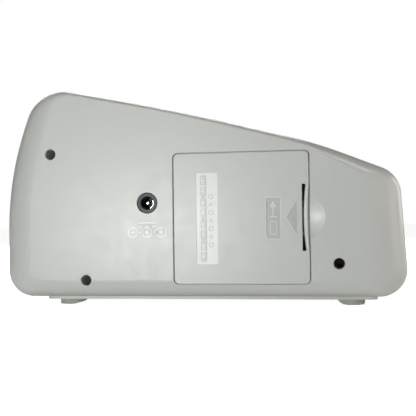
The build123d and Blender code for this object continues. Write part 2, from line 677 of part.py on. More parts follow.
def battery_door():
    x = (BAY_CENTRE_X - DOOR_X + DOOR_GAP, BAY_CENTRE_X + DOOR_X - DOOR_GAP)
    z = (BAY_CENTRE_Z - DOOR_Z + DOOR_GAP, BAY_CENTRE_Z + DOOR_Z - DOOR_GAP)
    face = panel(x, z, DOOR_CORNER) - latch_slit(x[0]) - latch_relief(x[0])
    door = across(face, DOOR_BACK + BEZEL_FIT, BACK)
    door = chamfer(door.faces().sort_by(Axis.Y)[-1].edges(), DOOR_CHAMFER)
    tab_back = DOOR_BACK - TAB_GAP
    for tab_z in tab_places():
        tab_zs = (tab_z - TAB_WIDTH / 2, tab_z + TAB_WIDTH / 2)
        root_x = (x[1] - TAB_ROOT, x[1] - TAB_ROOT + TAB_NECK)
        door = door + block((root_x[0], x[1] + TAB_REACH), (tab_back - TAB_THICKNESS, tab_back), tab_zs)
        door = door + block(root_x, (tab_back - OVER / 2, DOOR_BACK + OVER / 2), tab_zs)
    label = panel((LABEL_CENTRE[0] - LABEL_SIZE[0] / 2, LABEL_CENTRE[0] + LABEL_SIZE[0] / 2),
                  (LABEL_CENTRE[1] - LABEL_SIZE[1] / 2, LABEL_CENTRE[1] + LABEL_SIZE[1] / 2), LABEL_CORNER)
    door = door - across(label, BACK - LABEL_RECESS, BACK + OVER)
    note = Pos(*NOTE_CENTRE) * RectangleRounded(*NOTE_SIZE, LABEL_CORNER)
    door = door - across(note, BACK - NOTE_RECESS, BACK + OVER)
    arrow = polygon([ARROW_TIP,
                     (ARROW_TIP[0] - ARROW_LENGTH, ARROW_TIP[1] + ARROW_WIDTH / 2),
                     (ARROW_TIP[0] - ARROW_LENGTH, ARROW_TIP[1] - ARROW_WIDTH / 2)])
    return door - across(arrow, BACK - ARROW_RECESS, BACK + OVER)


def latch_slit(edge_x):
    """Slit that frees the latch tongue along the door's edge; the tongue bows into it."""
    low, high = BAY_CENTRE_Z - LATCH_LENGTH / 2, BAY_CENTRE_Z + LATCH_LENGTH / 2
    near = edge_x + LATCH_TONGUE
    far = near + LATCH_BOW + LATCH_SLIT
    return make_face([
        ThreePointArc((near, low), (near + LATCH_BOW, BAY_CENTRE_Z), (near, high)),
        Line((near, high), (far, high)),
        Line((far, high), (far, low)),
        Line((far, low), (near, low)),
    ])


def latch_relief(edge_x):
    """Shallow hollow in the door's edge that lets a fingertip reach the tongue."""
    low, high = BAY_CENTRE_Z - LATCH_LENGTH / 2, BAY_CENTRE_Z + LATCH_LENGTH / 2
    return make_face([
        ThreePointArc((edge_x, low), (edge_x + LATCH_RELIEF, BAY_CENTRE_Z), (edge_x, high)),
        Line((edge_x, high), (edge_x - OVER, high)),
        Line((edge_x - OVER, high), (edge_x - OVER, low)),
        Line((edge_x - OVER, low), (edge_x, low)),
    ])


def ribbon_door():
    gap = RIBBON_DOOR_GAP
    x = (RIBBON_DOOR_X[0] + gap, RIBBON_DOOR_X[1] - gap)
    z = (RIBBON_DOOR_Z[0] + gap, RIBBON_DOOR_Z[1] - gap)
    door = across(panel(x, z, RIBBON_DOOR_CORNER - gap), FRONT, FRONT_IN)
    door = chamfer(door.faces().sort_by(Axis.Y)[0].edges(), DOOR_CHAMFER)
    middle = sum(RIBBON_DOOR_X) / 2
    for tab_x in (middle - RIBBON_TAB_SPACING / 2, middle + RIBBON_TAB_SPACING / 2):
        tab_xs = (tab_x - TAB_WIDTH / 2, tab_x + TAB_WIDTH / 2)
        tab_y = (FRONT_IN + TAB_GAP, FRONT_IN + TAB_GAP + TAB_THICKNESS)
        root_z = (z[0] + TAB_ROOT - TAB_NECK, z[0] + TAB_ROOT)
        door = door + block(tab_xs, tab_y, (z[0] - TAB_REACH, root_z[1]))
        door = door + block(tab_xs, (FRONT_IN - OVER / 2, tab_y[1]), root_z)
    for row in range(GRIP_GROOVES):
        top = z[1] - GRIP_EDGE - GRIP_PITCH * row
        groove = block((middle - GRIP_WIDTH / 2, middle + GRIP_WIDTH / 2),
                       (FRONT - OVER, FRONT + GRIP_DEPTH), (top - GRIP_PITCH / 2, top))
        door = door - groove
    return door


def card_slot_bezel():
    band = even_outline(0.0) - even_outline(BEZEL_DEPTH)
    bezel = across(band, GAP_FRONT - BEZEL_MARGIN, GAP_BACK + BEZEL_MARGIN)
    bezel = bezel & slot_region(BEZEL_MARGIN - BEZEL_FIT, BEZEL_MARGIN - BEZEL_FIT)
    bezel = bezel - slot_region(0.0, 0.0)
    mouth = even_outline(-OVER) - even_outline(FUNNEL_DEPTH)
    mouth = across(mouth, GAP_FRONT - FUNNEL_STEP, GAP_BACK + FUNNEL_STEP)
    return bezel - (mouth & slot_region(FUNNEL_STEP, FUNNEL_STEP))


def foot(x, y, side):
    """Round foot, upright on its outer side and tapered up on its inner side."""
    top = FOOT_HEIGHT
    profile = make_face([
        Line((FOOT_RADIUS, top), (FOOT_RADIUS, FOOT_EDGE_RADIUS)),
        RadiusArc((FOOT_RADIUS, FOOT_EDGE_RADIUS), (FOOT_RADIUS - FOOT_EDGE_RADIUS, 0), FOOT_EDGE_RADIUS),
        Line((FOOT_RADIUS - FOOT_EDGE_RADIUS, 0), (-FOOT_RADIUS * 0.1, 0)),
        Spline((-FOOT_RADIUS * 0.1, 0), (-FOOT_RADIUS * 0.62, 0.55), (-FOOT_RADIUS, top),
               tangents=[(-1, 0), (-0.6, 1)]),
        Line((-FOOT_RADIUS, top), (FOOT_RADIUS, top)),
    ])
    body = across(profile, -FOOT_RADIUS, FOOT_RADIUS) & Pos(0, 0, top / 2) * Cylinder(FOOT_RADIUS, top)
    if side < 0:
        body = mirror(body, about=Plane.YZ)
    stud = Pos(0, 0, top + FOOT_STUD_LENGTH / 2) * Cylinder(FOOT_STUD_RADIUS, FOOT_STUD_LENGTH)
    return Pos(x, y, 0) * (body + stud)


def cross_screw(x, z, seat_y, head_radius, head_height, radius, length):
    """Cross-head screw driven towards the front, its head on a seat."""
    screw = rod_y(x, z, head_radius, seat_y, seat_y + head_height)
    screw = screw + rod_y(x, z, radius, seat_y - length, seat_y)
    reach = head_radius * 0.7
    for wide, high in ((reach, CROSS_SLOT / 2), (CROSS_SLOT / 2, reach)):
        screw = screw - block((x - wide, x + wide), (seat_y + head_height * 0.4, seat_y + head_height + OVER),
                              (z - high, z + high))
    return screw


def case_screws():
    screws = []
    for x, z in CASE_SCREWS:
        head = (SCREW_HEAD_RADIUS, SCREW_HEAD_HEIGHT)
        screws.append(cross_screw(x, z, SCREW_SEAT, *head, SCREW_RADIUS, SCREW_LENGTH))
    return Compound(screws)


# ---------------------------------------------------------------- power socket
def jack_housing():
    body = block((JACK_X - JACK_BODY[0] / 2, JACK_X + JACK_BODY[0] / 2),
                 (BACK - JACK_LENGTH, BACK - WALL - BEZEL_FIT),
                 (JACK_Z - JACK_BODY[1] / 2, JACK_Z + JACK_BODY[1] / 2))
    body = body + rod_y(JACK_X, JACK_Z, JACK_COLLAR_RADIUS, BACK - WALL - OVER, BACK)
    body = body - rod_y(JACK_X, JACK_Z, JACK_BORE_RADIUS, BACK - JACK_BORE_DEPTH, BACK + OVER)
    collar_edges = body.edges().filter_by(GeomType.CIRCLE).group_by(Axis.Y)[-1]
    body = chamfer(collar_edges, 0.35)
    pin_hole = (BACK - JACK_LENGTH - OVER, BACK - JACK_BORE_DEPTH + OVER)
    return body - rod_y(JACK_X, JACK_Z, JACK_PIN_RADIUS, *pin_hole)


def jack_pin():
    pin = rod_y(JACK_X, JACK_Z, JACK_PIN_RADIUS, BACK - JACK_LENGTH - 2.0, BACK - 1.2)
    return fillet(pin.edges().sort_by(Axis.Y)[-1], 0.6)


def jack_contact():
    """Sprung sleeve contact along one side of the socket's bore."""
    outer = JACK_BORE_RADIUS - PRESS_GAP
    ring = disc(JACK_X, JACK_Z, outer) - disc(JACK_X, JACK_Z, outer - CONTACT_THICKNESS)
    window = Pos(JACK_X - JACK_BORE_RADIUS, JACK_Z - JACK_CONTACT_DROP)
    window = window * Rectangle(JACK_BORE_RADIUS * 2, JACK_CONTACT_WIDTH)
    return across(ring & window, BACK - JACK_BORE_DEPTH, BACK - JACK_CONTACT_IN)


# ---------------------------------------------------------------- batteries
def battery(index):
    """Cell lying across the clock; every other one is turned round."""
    z = cell_heights()[index]
    turned = 1 if index % 2 == 0 else -1
    half = CELL_LENGTH / 2
    can = rod_x(CELL_Y, z, CELL_RADIUS, BAY_CENTRE_X - half, BAY_CENTRE_X + half - CELL_TIP)
    can = fillet(can.edges().filter_by(GeomType.CIRCLE), 0.5)
    tip = rod_x(CELL_Y, z, CELL_TIP_RADIUS, BAY_CENTRE_X + half - CELL_TIP - 0.1, BAY_CENTRE_X + half)
    cell = can + tip
    if turned < 0:
        cell = mirror(cell, about=Plane(origin=(BAY_CENTRE_X, 0, 0), z_dir=(1, 0, 0)))
    return cell


def battery_contacts(positive):
    """Contact plates of one kind at the ends of the compartment, flat or with a folded spring."""
    contacts = []
    for index, z in enumerate(cell_heights()):
        tip_side = 1 if index % 2 == 0 else -1
        side = tip_side if positive else -tip_side
        wall_x = BAY_CENTRE_X + side * (BAY_X - PRESS_GAP)
        cell_x = BAY_CENTRE_X + side * (CELL_LENGTH / 2 + PRESS_GAP)
        plate_x = wall_x - side * CONTACT_THICKNESS
        heights = (z - CONTACT_WIDTH / 2, z + CONTACT_WIDTH / 2)
        contact = block((wall_x, plate_x), (BAY_DEPTH_Y + PRESS_GAP, CELL_Y + 3.4), heights)
        if positive:
            post = block((wall_x, cell_x), (CELL_Y - 1.0, CELL_Y + 1.0), (z - 1.0, z + 1.0))
        else:
            thick = CONTACT_THICKNESS
            leaf = polygon([(plate_x, CELL_Y + 3.4), (wall_x, CELL_Y + 3.4),
                            (cell_x + side * thick, CELL_Y), (plate_x, CELL_Y - 4.0 + thick),
                            (plate_x, CELL_Y - 4.0), (cell_x, CELL_Y)])
            post = Pos(0, 0, heights[0] + 2.0) * extrude(leaf, amount=CONTACT_WIDTH - 4.0)
        contacts.append(contact + post)
    return Compound(contacts)


# ---------------------------------------------------------------- mechanism frames
def frame_plate(y_low, y_high):
    """Steel plate across the clock that follows the casing's top."""
    sheet = block((FRAME_LOW_X, FRAME_HIGH_X), (y_low, y_high), (PLATE_BASE, TALL_TOP_HEIGHT))
    plate = sheet & across(even_outline(BEZEL_DEPTH + BEZEL_FIT), y_low, y_high)
    for x, z in FRAME_POSTS:
        plate = plate - rod_y(x, z, FRAME_SCREW_RADIUS + SCREW_PASS_GAP, y_low - OVER, y_high + OVER)
    return plate


def roller_window(x, radius, y_low, y_high):
    reach = radius + ROLLER_ROOM
    return block((x - ROLLER_ROOM, x + ROLLER_WIDTH + ROLLER_ROOM),
                 (y_low - OVER, y_high + OVER), (FEED_Z - reach, FEED_Z + reach))


def printer_frame():
    """Front card guide with two ears that carry the guide shafts."""
    y = (GAP_FRONT - PLATE, GAP_FRONT)
    frame = frame_plate(*y)
    window_x, _ = platen_window(HEAD_ROOM)
    _, window_z = platen_window(0.0)
    frame = frame - block(window_x, (y[0] - OVER, y[1] + OVER), window_z)
    for x in ROLLER_XS:
        frame = frame - roller_window(x, PINCH_RADIUS, *y)
    for ear_x in (EAR_LOW_X, EAR_HIGH_X):
        ear = block((ear_x, ear_x + PLATE), (y[1] - EAR_DEPTH - PLATE, y[0] + 0.1), EAR_HEIGHTS)
        for z in (HEAD_Z - SHAFT_OFFSET, HEAD_Z + SHAFT_OFFSET):
            ear = ear - rod_x(SHAFT_Y, z, SHAFT_RADIUS + PRESS_GAP, ear_x - OVER, ear_x + PLATE + OVER)
        ear = ear - rod_x(PINCH_Y, FEED_Z, PINCH_SHAFT_RADIUS + RUN_GAP, ear_x - OVER, ear_x + PLATE + OVER)
        frame = frame + ear
    return frame


def rear_frame():
    """Back card guide: its bent foot stops the card, its ears carry the feed shaft and motor."""
    y = (GAP_BACK, GAP_BACK + PLATE)
    frame = frame_plate(*y)
    platen_x, platen_z = platen_window(BEZEL_FIT)
    frame = frame - block(platen_x, (y[0] - OVER, y[1] + OVER), platen_z)
    for x in ROLLER_XS:
        frame = frame - roller_window(x, FEED_RADIUS, *y)
    frame = frame - block((LEVER_X - LEVER_WIDTH, LEVER_X + LEVER_WIDTH),
                          (y[0] - OVER, y[1] + OVER),
                          (LEVER_Z - LEVER_ROOM[0], LEVER_Z + LEVER_ROOM[1]))
    card_stop = block((SLOT_LOW, SLOT_HIGH), (GAP_FRONT + PRESS_GAP, y[1]), (PLATE_BASE, PLATE_BASE + PLATE))
    frame = frame + card_stop
    ears = [(FRAME_LOW_X, PINION_Y + FEED_MOTOR_RADIUS, PINION_Z - FEED_MOTOR_RADIUS),
            (EAR_HIGH_X, FEED_Y + 5.0, FEED_Z - 8.0)]
    for ear_x, depth, low_z in ears:
        ear = block((ear_x, ear_x + PLATE), (y[1] - 0.1, depth), (low_z, FEED_Z + 6.5))
        ear = ear - rod_x(FEED_Y, FEED_Z, FEED_SHAFT_RADIUS + RUN_GAP, ear_x - OVER, ear_x + PLATE + OVER)
        if ear_x == FRAME_LOW_X:
            ear = ear - rod_x(PINION_Y, PINION_Z, 1.5, ear_x - OVER, ear_x + PLATE + OVER)
        frame = frame + ear
    return frame


def platen_window(gap):
    x = (HEAD_REST_X - HEAD_WIDTH / 2 - gap, HEAD_REST_X + HEAD_TRAVEL + HEAD_WIDTH / 2 + gap)
    z = (HEAD_Z - HEAD_HEIGHT / 2 - gap, HEAD_Z + HEAD_HEIGHT / 2 + gap)
    return x, z


def platen():
    """Hard rubber bar behind the card that takes the print head's blows."""
    x, z = platen_window(0.0)
    bar = block(x, (GAP_BACK, GAP_BACK + PLATE + 1.6), z)
    return bar + block((x[0] - 2.0, x[1] + 2.0), (GAP_BACK + PLATE + PRESS_GAP, GAP_BACK + PLATE + 1.6),
                       (z[0] - 2.0, z[1] + 2.0))


def frame_spacers():
    spacers = []
    for x, z in FRAME_POSTS:
        ring = disc(x, z, POST_RADIUS) - disc(x, z, FRAME_SCREW_RADIUS + SCREW_PASS_GAP)
        spacers.append(across(ring, GAP_FRONT, GAP_BACK))
    return Compound(spacers)


def frame_screws():
    screws = []
    length = CARD_GAP + 2 * PLATE + FRAME_SCREW_REACH
    for x, z in FRAME_POSTS:
        screws.append(cross_screw(x, z, GAP_BACK + PLATE, FRAME_SCREW_HEAD, 1.5, FRAME_SCREW_RADIUS, length))
    return Compound(screws)


# ---------------------------------------------------------------- print carriage and its drive
def guide_shafts():
    shafts = []
    for z in (HEAD_Z - SHAFT_OFFSET, HEAD_Z + SHAFT_OFFSET):
        shafts.append(rod_x(SHAFT_Y, z, SHAFT_RADIUS, EAR_LOW_X - 0.8, EAR_HIGH_X + PLATE + 0.8))
    return Compound(shafts)


def head_carriage():
    x = (HEAD_REST_X - CARRIAGE_WIDTH / 2, HEAD_REST_X + CARRIAGE_WIDTH / 2)
    back = SHAFT_Y + SHAFT_RADIUS + 2.3
    front = SHAFT_Y - SHAFT_RADIUS - 3.0
    reach = SHAFT_OFFSET + SHAFT_RADIUS + 1.0
    carriage = block(x, (front - 3.0, front), (HEAD_Z - reach, HEAD_Z + reach))
    inner = HEAD_HEIGHT / 2 + BEZEL_FIT
    for side in (-1, 1):
        guide = block(x, (front - OVER, back), (HEAD_Z + side * inner, HEAD_Z + side * reach))
        bore = rod_x(SHAFT_Y, HEAD_Z + side * SHAFT_OFFSET, SHAFT_RADIUS + RUN_GAP, x[0] - OVER, x[1] + OVER)
        carriage = carriage + guide - bore
    run = PULLEY_Z - PULLEY_RADIUS
    belt_half = BELT_WIDTH / 2
    clamp_x = (HEAD_REST_X - 3.0, HEAD_REST_X + 3.0)
    clamp_z = (HEAD_Z + reach - OVER, run + 1.4)
    clamp = block(clamp_x, (BELT_Y - belt_half - 1.4, BELT_Y + belt_half), clamp_z)
    jaw = block((clamp_x[0] - OVER, clamp_x[1] + OVER),
                (BELT_Y - belt_half - BELT_ROOM, BELT_Y + belt_half + OVER),
                (run - BELT_THICKNESS - BELT_ROOM, run + BELT_ROOM))
    return carriage + clamp - jaw


def print_head():
    x = (HEAD_REST_X - HEAD_WIDTH / 2, HEAD_REST_X + HEAD_WIDTH / 2)
    z = (HEAD_Z - HEAD_HEIGHT / 2, HEAD_Z + HEAD_HEIGHT / 2)
    back = CARD_Y - HEAD_BACK
    front = SHAFT_Y - SHAFT_RADIUS - 3.0 + BEZEL_FIT
    head = block(x, (front, back), z)
    for step in (0.3, 0.5, 0.7):
        fin_y = front + (back - front) * step
        for edge in z:
            head = head - block((x[0] - OVER, x[1] + OVER), (fin_y, fin_y + 0.8), (edge - 1.5, edge + 1.5))
    nose = block((HEAD_REST_X - NOSE_SIZE[0] / 2, HEAD_REST_X + NOSE_SIZE[0] / 2),
                 (back - OVER, back + NOSE_LENGTH),
                 (HEAD_Z - NOSE_SIZE[1] / 2, HEAD_Z + NOSE_SIZE[1] / 2))
    return head + nose


def drive_plate():
    """Steel strip between the ears that carries the carriage motor and the idler."""
    z = (PULLEY_Z - MOTOR_RADIUS - 1.0, PULLEY_Z + MOTOR_RADIUS + 1.0)
    strip = block((EAR_LOW_X + PLATE, EAR_HIGH_X), (DRIVE_PLATE_Y - PLATE, DRIVE_PLATE_Y), z)
    strip = strip - rod_y(MOTOR_X, PULLEY_Z, 1.5, DRIVE_PLATE_Y - PLATE - OVER, DRIVE_PLATE_Y + OVER)
    pin_radius = 1.0
    return strip + rod_y(IDLER_X, PULLEY_Z, pin_radius, BELT_Y - BELT_WIDTH / 2 - 1.2, DRIVE_PLATE_Y)


def pulley(x):
    half = BELT_WIDTH / 2 + 0.15
    hub = rod_y(x, PULLEY_Z, PULLEY_RADIUS, BELT_Y - half, BELT_Y + half)
    for low in (BELT_Y - half - 0.6, BELT_Y + half):
        hub = hub + rod_y(x, PULLEY_Z, PULLEY_FLANGE, low, low + 0.6)
    return hub


def motor_pulley():
    """Drive pulley with the motor's own shaft."""
    return pulley(MOTOR_X) + rod_y(MOTOR_X, PULLEY_Z, 1.0, BELT_Y, DRIVE_PLATE_Y + 3.0)


def idler_pulley():
    return pulley(IDLER_X) - rod_y(IDLER_X, PULLEY_Z, 1.0 + RUN_GAP, BELT_Y - BELT_WIDTH, BELT_Y + BELT_WIDTH)


def timing_belt():
    middle = (IDLER_X + MOTOR_X) / 2
    span = MOTOR_X - IDLER_X
    inner = PULLEY_RADIUS + 0.1
    loop = SlotCenterToCenter(span, 2 * (inner + BELT_THICKNESS - 0.1)) - SlotCenterToCenter(span, 2 * inner)
    return across(Pos(middle, PULLEY_Z) * loop, BELT_Y - BELT_WIDTH / 2, BELT_Y + BELT_WIDTH / 2)


def carriage_motor():
    motor = rod_y(MOTOR_X, PULLEY_Z, MOTOR_RADIUS, DRIVE_PLATE_Y, DRIVE_PLATE_Y + MOTOR_LENGTH)
    motor = fillet(motor.edges().filter_by(GeomType.CIRCLE).sort_by(Axis.Y)[-1], 0.5)
    return motor - rod_y(MOTOR_X, PULLEY_Z, 1.0 + RUN_GAP, DRIVE_PLATE_Y - OVER, DRIVE_PLATE_Y + 3.2)


# ---------------------------------------------------------------- ribbon cassette
def ribbon_cassette():
    wall = CASSETTE_WALL
    case = block(CASSETTE_X, (CASSETTE_FRONT, CASSETTE_BACK), CASSETTE_Z)
    case = case - block((CASSETTE_X[0] + wall, CASSETTE_X[1] - wall),
                        (CASSETTE_FRONT - OVER, CASSETTE_BACK - wall),
                        (CASSETTE_Z[0] + wall, CASSETTE_Z[1] - wall))
    arm_y = (CARD_Y - 7.5, RIBBON_BACK)
    arm_z = (CASSETTE_Z[1] - wall / 2, HEAD_Z + RIBBON_HEIGHT / 2 + wall)
    for x in (CASSETTE_X[0], CASSETTE_X[1] - CASSETTE_ARM):
        case = case + block((x, x + CASSETTE_ARM), arm_y, arm_z)
    return case


def cassette_lid():
    front = CASSETTE_FRONT
    lid = block(CASSETTE_X, (front - 1.0, front), CASSETTE_Z)
    return lid - rod_y(KNOB_X, KNOB_Z, 1.5 + RUN_GAP, front - OVER * 2, front + OVER)


def ink_ribbon():
    x = (CASSETTE_X[0] + CASSETTE_ARM, CASSETTE_X[1] - CASSETTE_ARM)
    z = (HEAD_Z - RIBBON_HEIGHT / 2, HEAD_Z + RIBBON_HEIGHT / 2)
    return block(x, (RIBBON_BACK - RIBBON_THICKNESS, RIBBON_BACK), z)


def ribbon_knob():
    """Knurled knob with the ribbon's drive roller on the same shaft."""
    front = CASSETTE_FRONT
    knob = rod_y(KNOB_X, KNOB_Z, KNOB_RADIUS, KNOB_FRONT, front - 1.1)
    grooves = 12
    for index in range(grooves):
        angle = 2 * pi * index / grooves
        knob = knob - rod_y(KNOB_X + KNOB_RADIUS * cos(angle), KNOB_Z + KNOB_RADIUS * sin(angle), 0.6,
                            KNOB_FRONT - OVER, front)
    knob = knob + rod_y(KNOB_X, KNOB_Z, 1.5, front - 1.2, front + 2.0)
    return knob + rod_y(KNOB_X, KNOB_Z, 4.0, front + 1.0, front + 12.0)


# ---------------------------------------------------------------- card feed
def feed_shaft():
    return rod_x(FEED_Y, FEED_Z, FEED_SHAFT_RADIUS, FRAME_LOW_X - GEAR_WIDTH - 1.2, EAR_HIGH_X + PLATE + 0.1)


def feed_rollers():
    rollers = []
    for x in ROLLER_XS:
        ring = disc(FEED_Y, FEED_Z, FEED_RADIUS) - disc(FEED_Y, FEED_Z, FEED_SHAFT_RADIUS)
        rollers.append(sideways(ring, x, x + ROLLER_WIDTH))
    return Compound(rollers)


def pinch_shaft():
    return rod_x(PINCH_Y, FEED_Z, PINCH_SHAFT_RADIUS, EAR_LOW_X - 0.6, EAR_HIGH_X + PLATE + 0.6)


def pinch_rollers():
    rollers = []
    for x in ROLLER_XS:
        ring = disc(PINCH_Y, FEED_Z, PINCH_RADIUS) - disc(PINCH_Y, FEED_Z, PINCH_SHAFT_RADIUS)
        rollers.append(sideways(ring, x, x + ROLLER_WIDTH))
    return Compound(rollers)


def gear_profile(teeth, first_angle):
    """Spur gear outline with straight flanks and clearance for any phase of the mesh."""
    pitch = GEAR_MODULE * teeth / 2
    tip, root = pitch + 0.85 * GEAR_MODULE, pitch - 1.15 * GEAR_MODULE
    half_pitch = TOOTH_SHARE * pi * GEAR_MODULE / 2
    slope = tan(radians(20.0))
    points = []
    for index in range(teeth):
        middle = radians(first_angle) + 2 * pi * index / teeth
        for radius, side in ((root, -1), (tip, -1), (tip, 1), (root, 1)):
            angle = middle + side * (half_pitch - (radius - pitch) * slope) / radius
            points.append((radius * cos(angle), radius * sin(angle)))
    return polygon(points)


def feed_gear():
    x = (FRAME_LOW_X - GEAR_WIDTH - 0.5, FRAME_LOW_X - 0.5)
    profile = gear_profile(GEAR_TEETH, PINION_ANGLE) - Circle(FEED_SHAFT_RADIUS)
    for index in range(4):
        angle = radians(45.0 + 90.0 * index)
        profile = profile - Pos(4.3 * cos(angle), 4.3 * sin(angle)) * Circle(1.1)
    return sideways(Pos(FEED_Y, FEED_Z) * profile, *x)


def feed_pinion():
    """Pinion with the feed motor's shaft."""
    x = (FRAME_LOW_X - GEAR_WIDTH - 0.5, FRAME_LOW_X - 0.5)
    half_tooth = 180.0 / PINION_TEETH
    profile = gear_profile(PINION_TEETH, PINION_ANGLE + 180.0 + half_tooth)
    pinion = sideways(Pos(PINION_Y, PINION_Z) * profile, *x)
    return pinion + rod_x(PINION_Y, PINION_Z, 1.0, x[0], FRAME_LOW_X + PLATE + 4.0)


def feed_motor():
    x = (FRAME_LOW_X + PLATE, FRAME_LOW_X + PLATE + FEED_MOTOR_LENGTH)
    motor = rod_x(PINION_Y, PINION_Z, FEED_MOTOR_RADIUS, *x)
    motor = fillet(motor.edges().filter_by(GeomType.CIRCLE).sort_by(Axis.X)[-1], 0.8)
    return motor - rod_x(PINION_Y, PINION_Z, 1.0 + RUN_GAP, x[0] - OVER, x[0] + 4.2)


# ---------------------------------------------------------------- card switch
def card_switch():
    """Switch body with two cheeks and the lever's pin."""
    y = GAP_BACK + PLATE
    half = LEVER_WIDTH / 2 + LEVER_SIDE_GAP + LEVER_CHEEK
    switch = block((LEVER_X - half, LEVER_X + half), (y, y + 5.4), (LEVER_Z - 13.0, LEVER_Z - 2.0))
    for side in (-1, 1):
        cheek_x = (LEVER_X + side * (half - LEVER_CHEEK), LEVER_X + side * half)
        switch = switch + block(cheek_x, (LEVER_Y - 1.4, LEVER_Y + 1.4), (LEVER_Z - 2.5, LEVER_Z + 1.4))
    return switch + rod_x(LEVER_Y, LEVER_Z, LEVER_PIN_RADIUS, LEVER_X - half, LEVER_X + half)


def card_switch_lever():
    """Sprung lever whose tip stands in the card's path."""
    arm = polygon([
        (LEVER_Y + 1.2, LEVER_Z - 1.2), (LEVER_Y + 1.2, LEVER_Z + 4.2), (GAP_BACK - 1.8, LEVER_Z + 8.2),
        (GAP_BACK - 1.8, LEVER_Z + 6.6), (LEVER_Y - 1.1, LEVER_Z + 1.6), (LEVER_Y - 1.1, LEVER_Z - 1.2),
    ])
    bore = disc(LEVER_Y, LEVER_Z, LEVER_PIN_RADIUS + RUN_GAP)
    return sideways(arm - bore, LEVER_X - LEVER_WIDTH / 2, LEVER_X + LEVER_WIDTH / 2)


# ---------------------------------------------------------------- display and electronics
def display_window():
    gap = BEZEL_FIT
    x = (WINDOW_X[0] + gap, WINDOW_X[1] - gap)
    z = (WINDOW_Z[0] + gap, WINDOW_Z[1] - gap)
    return across(panel(x, z, 1.9), FRONT, FRONT + WINDOW_THICKNESS - PRESS_GAP)


def lcd_bezel():
    y = (FRONT_IN + BEZEL_FIT, BOARD_Y)
    frame = block(LCD_X, y, LCD_Z)
    wall = LCD_FRAME_WALL
    frame = frame - block((LCD_X[0] + wall, LCD_X[1] - wall),
                          (y[0] + LCD_LIP, y[1] + OVER),
                          (LCD_Z[0] + wall, LCD_Z[1] - wall))
    middle = Pos(sum(LCD_X) / 2, sum(LCD_Z) / 2)
    return frame - across(middle * Rectangle(*LCD_VIEW), y[0] - OVER, y[0] + OVER * 2)


def lcd_glass():
    edge = LCD_FRAME_WALL + BEZEL_FIT
    y = FRONT_IN + BEZEL_FIT + LCD_LIP + PRESS_GAP
    return block((LCD_X[0] + edge, LCD_X[1] - edge), (y, y + LCD_GLASS), (LCD_Z[0] + edge, LCD_Z[1] - edge))


def lcd_contact_strips():
    y = (FRONT_IN + BEZEL_FIT + LCD_LIP + PRESS_GAP * 2 + LCD_GLASS, BOARD_Y - PRESS_GAP)
    edge = LCD_FRAME_WALL + BEZEL_FIT
    x = (LCD_X[0] + edge + STRIP_WIDTH, LCD_X[1] - edge - STRIP_WIDTH)
    low, high = LCD_Z[0] + edge, LCD_Z[1] - edge
    return Compound([block(x, y, (low, low + STRIP_WIDTH)), block(x, y, (high - STRIP_WIDTH, high))])


def main_board():
    board = block(BOARD_X, (BOARD_Y, BOARD_BACK), BOARD_Z)
    board = board & across(even_outline(BOARD_EDGE), BOARD_Y, BOARD_BACK)
    for x, z in BOARD_POSTS:
        board = board - rod_y(x, z, BOARD_SCREW_RADIUS + SCREW_PASS_GAP, BOARD_Y - OVER, BOARD_BACK + OVER)
    return board


def board_screws():
    screws = []
    for x, z in BOARD_POSTS:
        head = (BOARD_SCREW_HEAD, BOARD_SCREW_HEAD_HEIGHT)
        screws.append(cross_screw(x, z, BOARD_BACK, *head, BOARD_SCREW_RADIUS, BOARD_SCREW_LENGTH))
    return Compound(screws)


def leg_places(middle, span, count):
    """Evenly spaced legs along one side of a chip."""
    pitch = (span - 2 * LEG_EDGE) / (count - 1)
    return [middle - span / 2 + LEG_EDGE + pitch * index for index in range(count)]


def chip(place, size, legs, four_sided):
    """Flat chip on the board's back, with a row of legs on two or four sides."""
    x, z = place
    width, height = size[0] / 2, size[1] / 2
    leg_y = (BOARD_BACK, BOARD_BACK + LEG_HEIGHT)
    body = block((x - width, x + width), (BOARD_BACK + CHIP_STAND, BOARD_BACK + CHIP_HEIGHT),
                 (z - height, z + height))
    for at in leg_places(z, size[1], legs):
        body = body + block((x - width - LEG_REACH, x + width + LEG_REACH), leg_y,
                            (at - LEG_WIDTH / 2, at + LEG_WIDTH / 2))
    if four_sided:
        for at in leg_places(x, size[0], legs):
            body = body + block((at - LEG_WIDTH / 2, at + LEG_WIDTH / 2), leg_y,
                                (z - height - LEG_REACH, z + height + LEG_REACH))
    return body


def circuit_chips():
    """Clock controller and the two motor drivers."""
    chips = [chip(CONTROLLER_PLACE, (CONTROLLER_SIZE, CONTROLLER_SIZE), CONTROLLER_LEGS, True)]
    for place in DRIVER_PLACES:
        chips.append(chip(place, DRIVER_SIZE, DRIVER_LEGS, False))
    return Compound(chips)


def capacitors():
    cans = []
    for x, z in CAPACITOR_PLACES:
        can = rod_y(x, z, CAPACITOR_RADIUS, BOARD_BACK, BOARD_BACK + CAPACITOR_HEIGHT)
        cans.append(fillet(can.edges().filter_by(GeomType.CIRCLE).sort_by(Axis.Y)[-1], 0.4))
    return Compound(cans)


def crystal():
    can = across(Pos(*CRYSTAL_PLACE) * SlotOverall(*CRYSTAL_SIZE), BOARD_BACK, BOARD_BACK + CRYSTAL_HEIGHT)
    return fillet(can.edges().group_by(Axis.Y)[-1], 0.5)


def backup_cell_holder():
    x, z = BACKUP_PLACE
    floor = BOARD_BACK + BACKUP_FLOOR
    top = floor + BACKUP_THICKNESS + BEZEL_FIT * 2
    holder = rod_y(x, z, BACKUP_RADIUS + BEZEL_FIT + BACKUP_RIM, BOARD_BACK, top)
    holder = holder - rod_y(x, z, BACKUP_RADIUS + BEZEL_FIT, floor, top + OVER)
    opening = block((x - BACKUP_OPENING / 2, x + BACKUP_OPENING / 2), (floor + OVER, top + OVER),
                    (z - BACKUP_RADIUS * 2, z + BACKUP_RADIUS * 2))
    return holder - opening


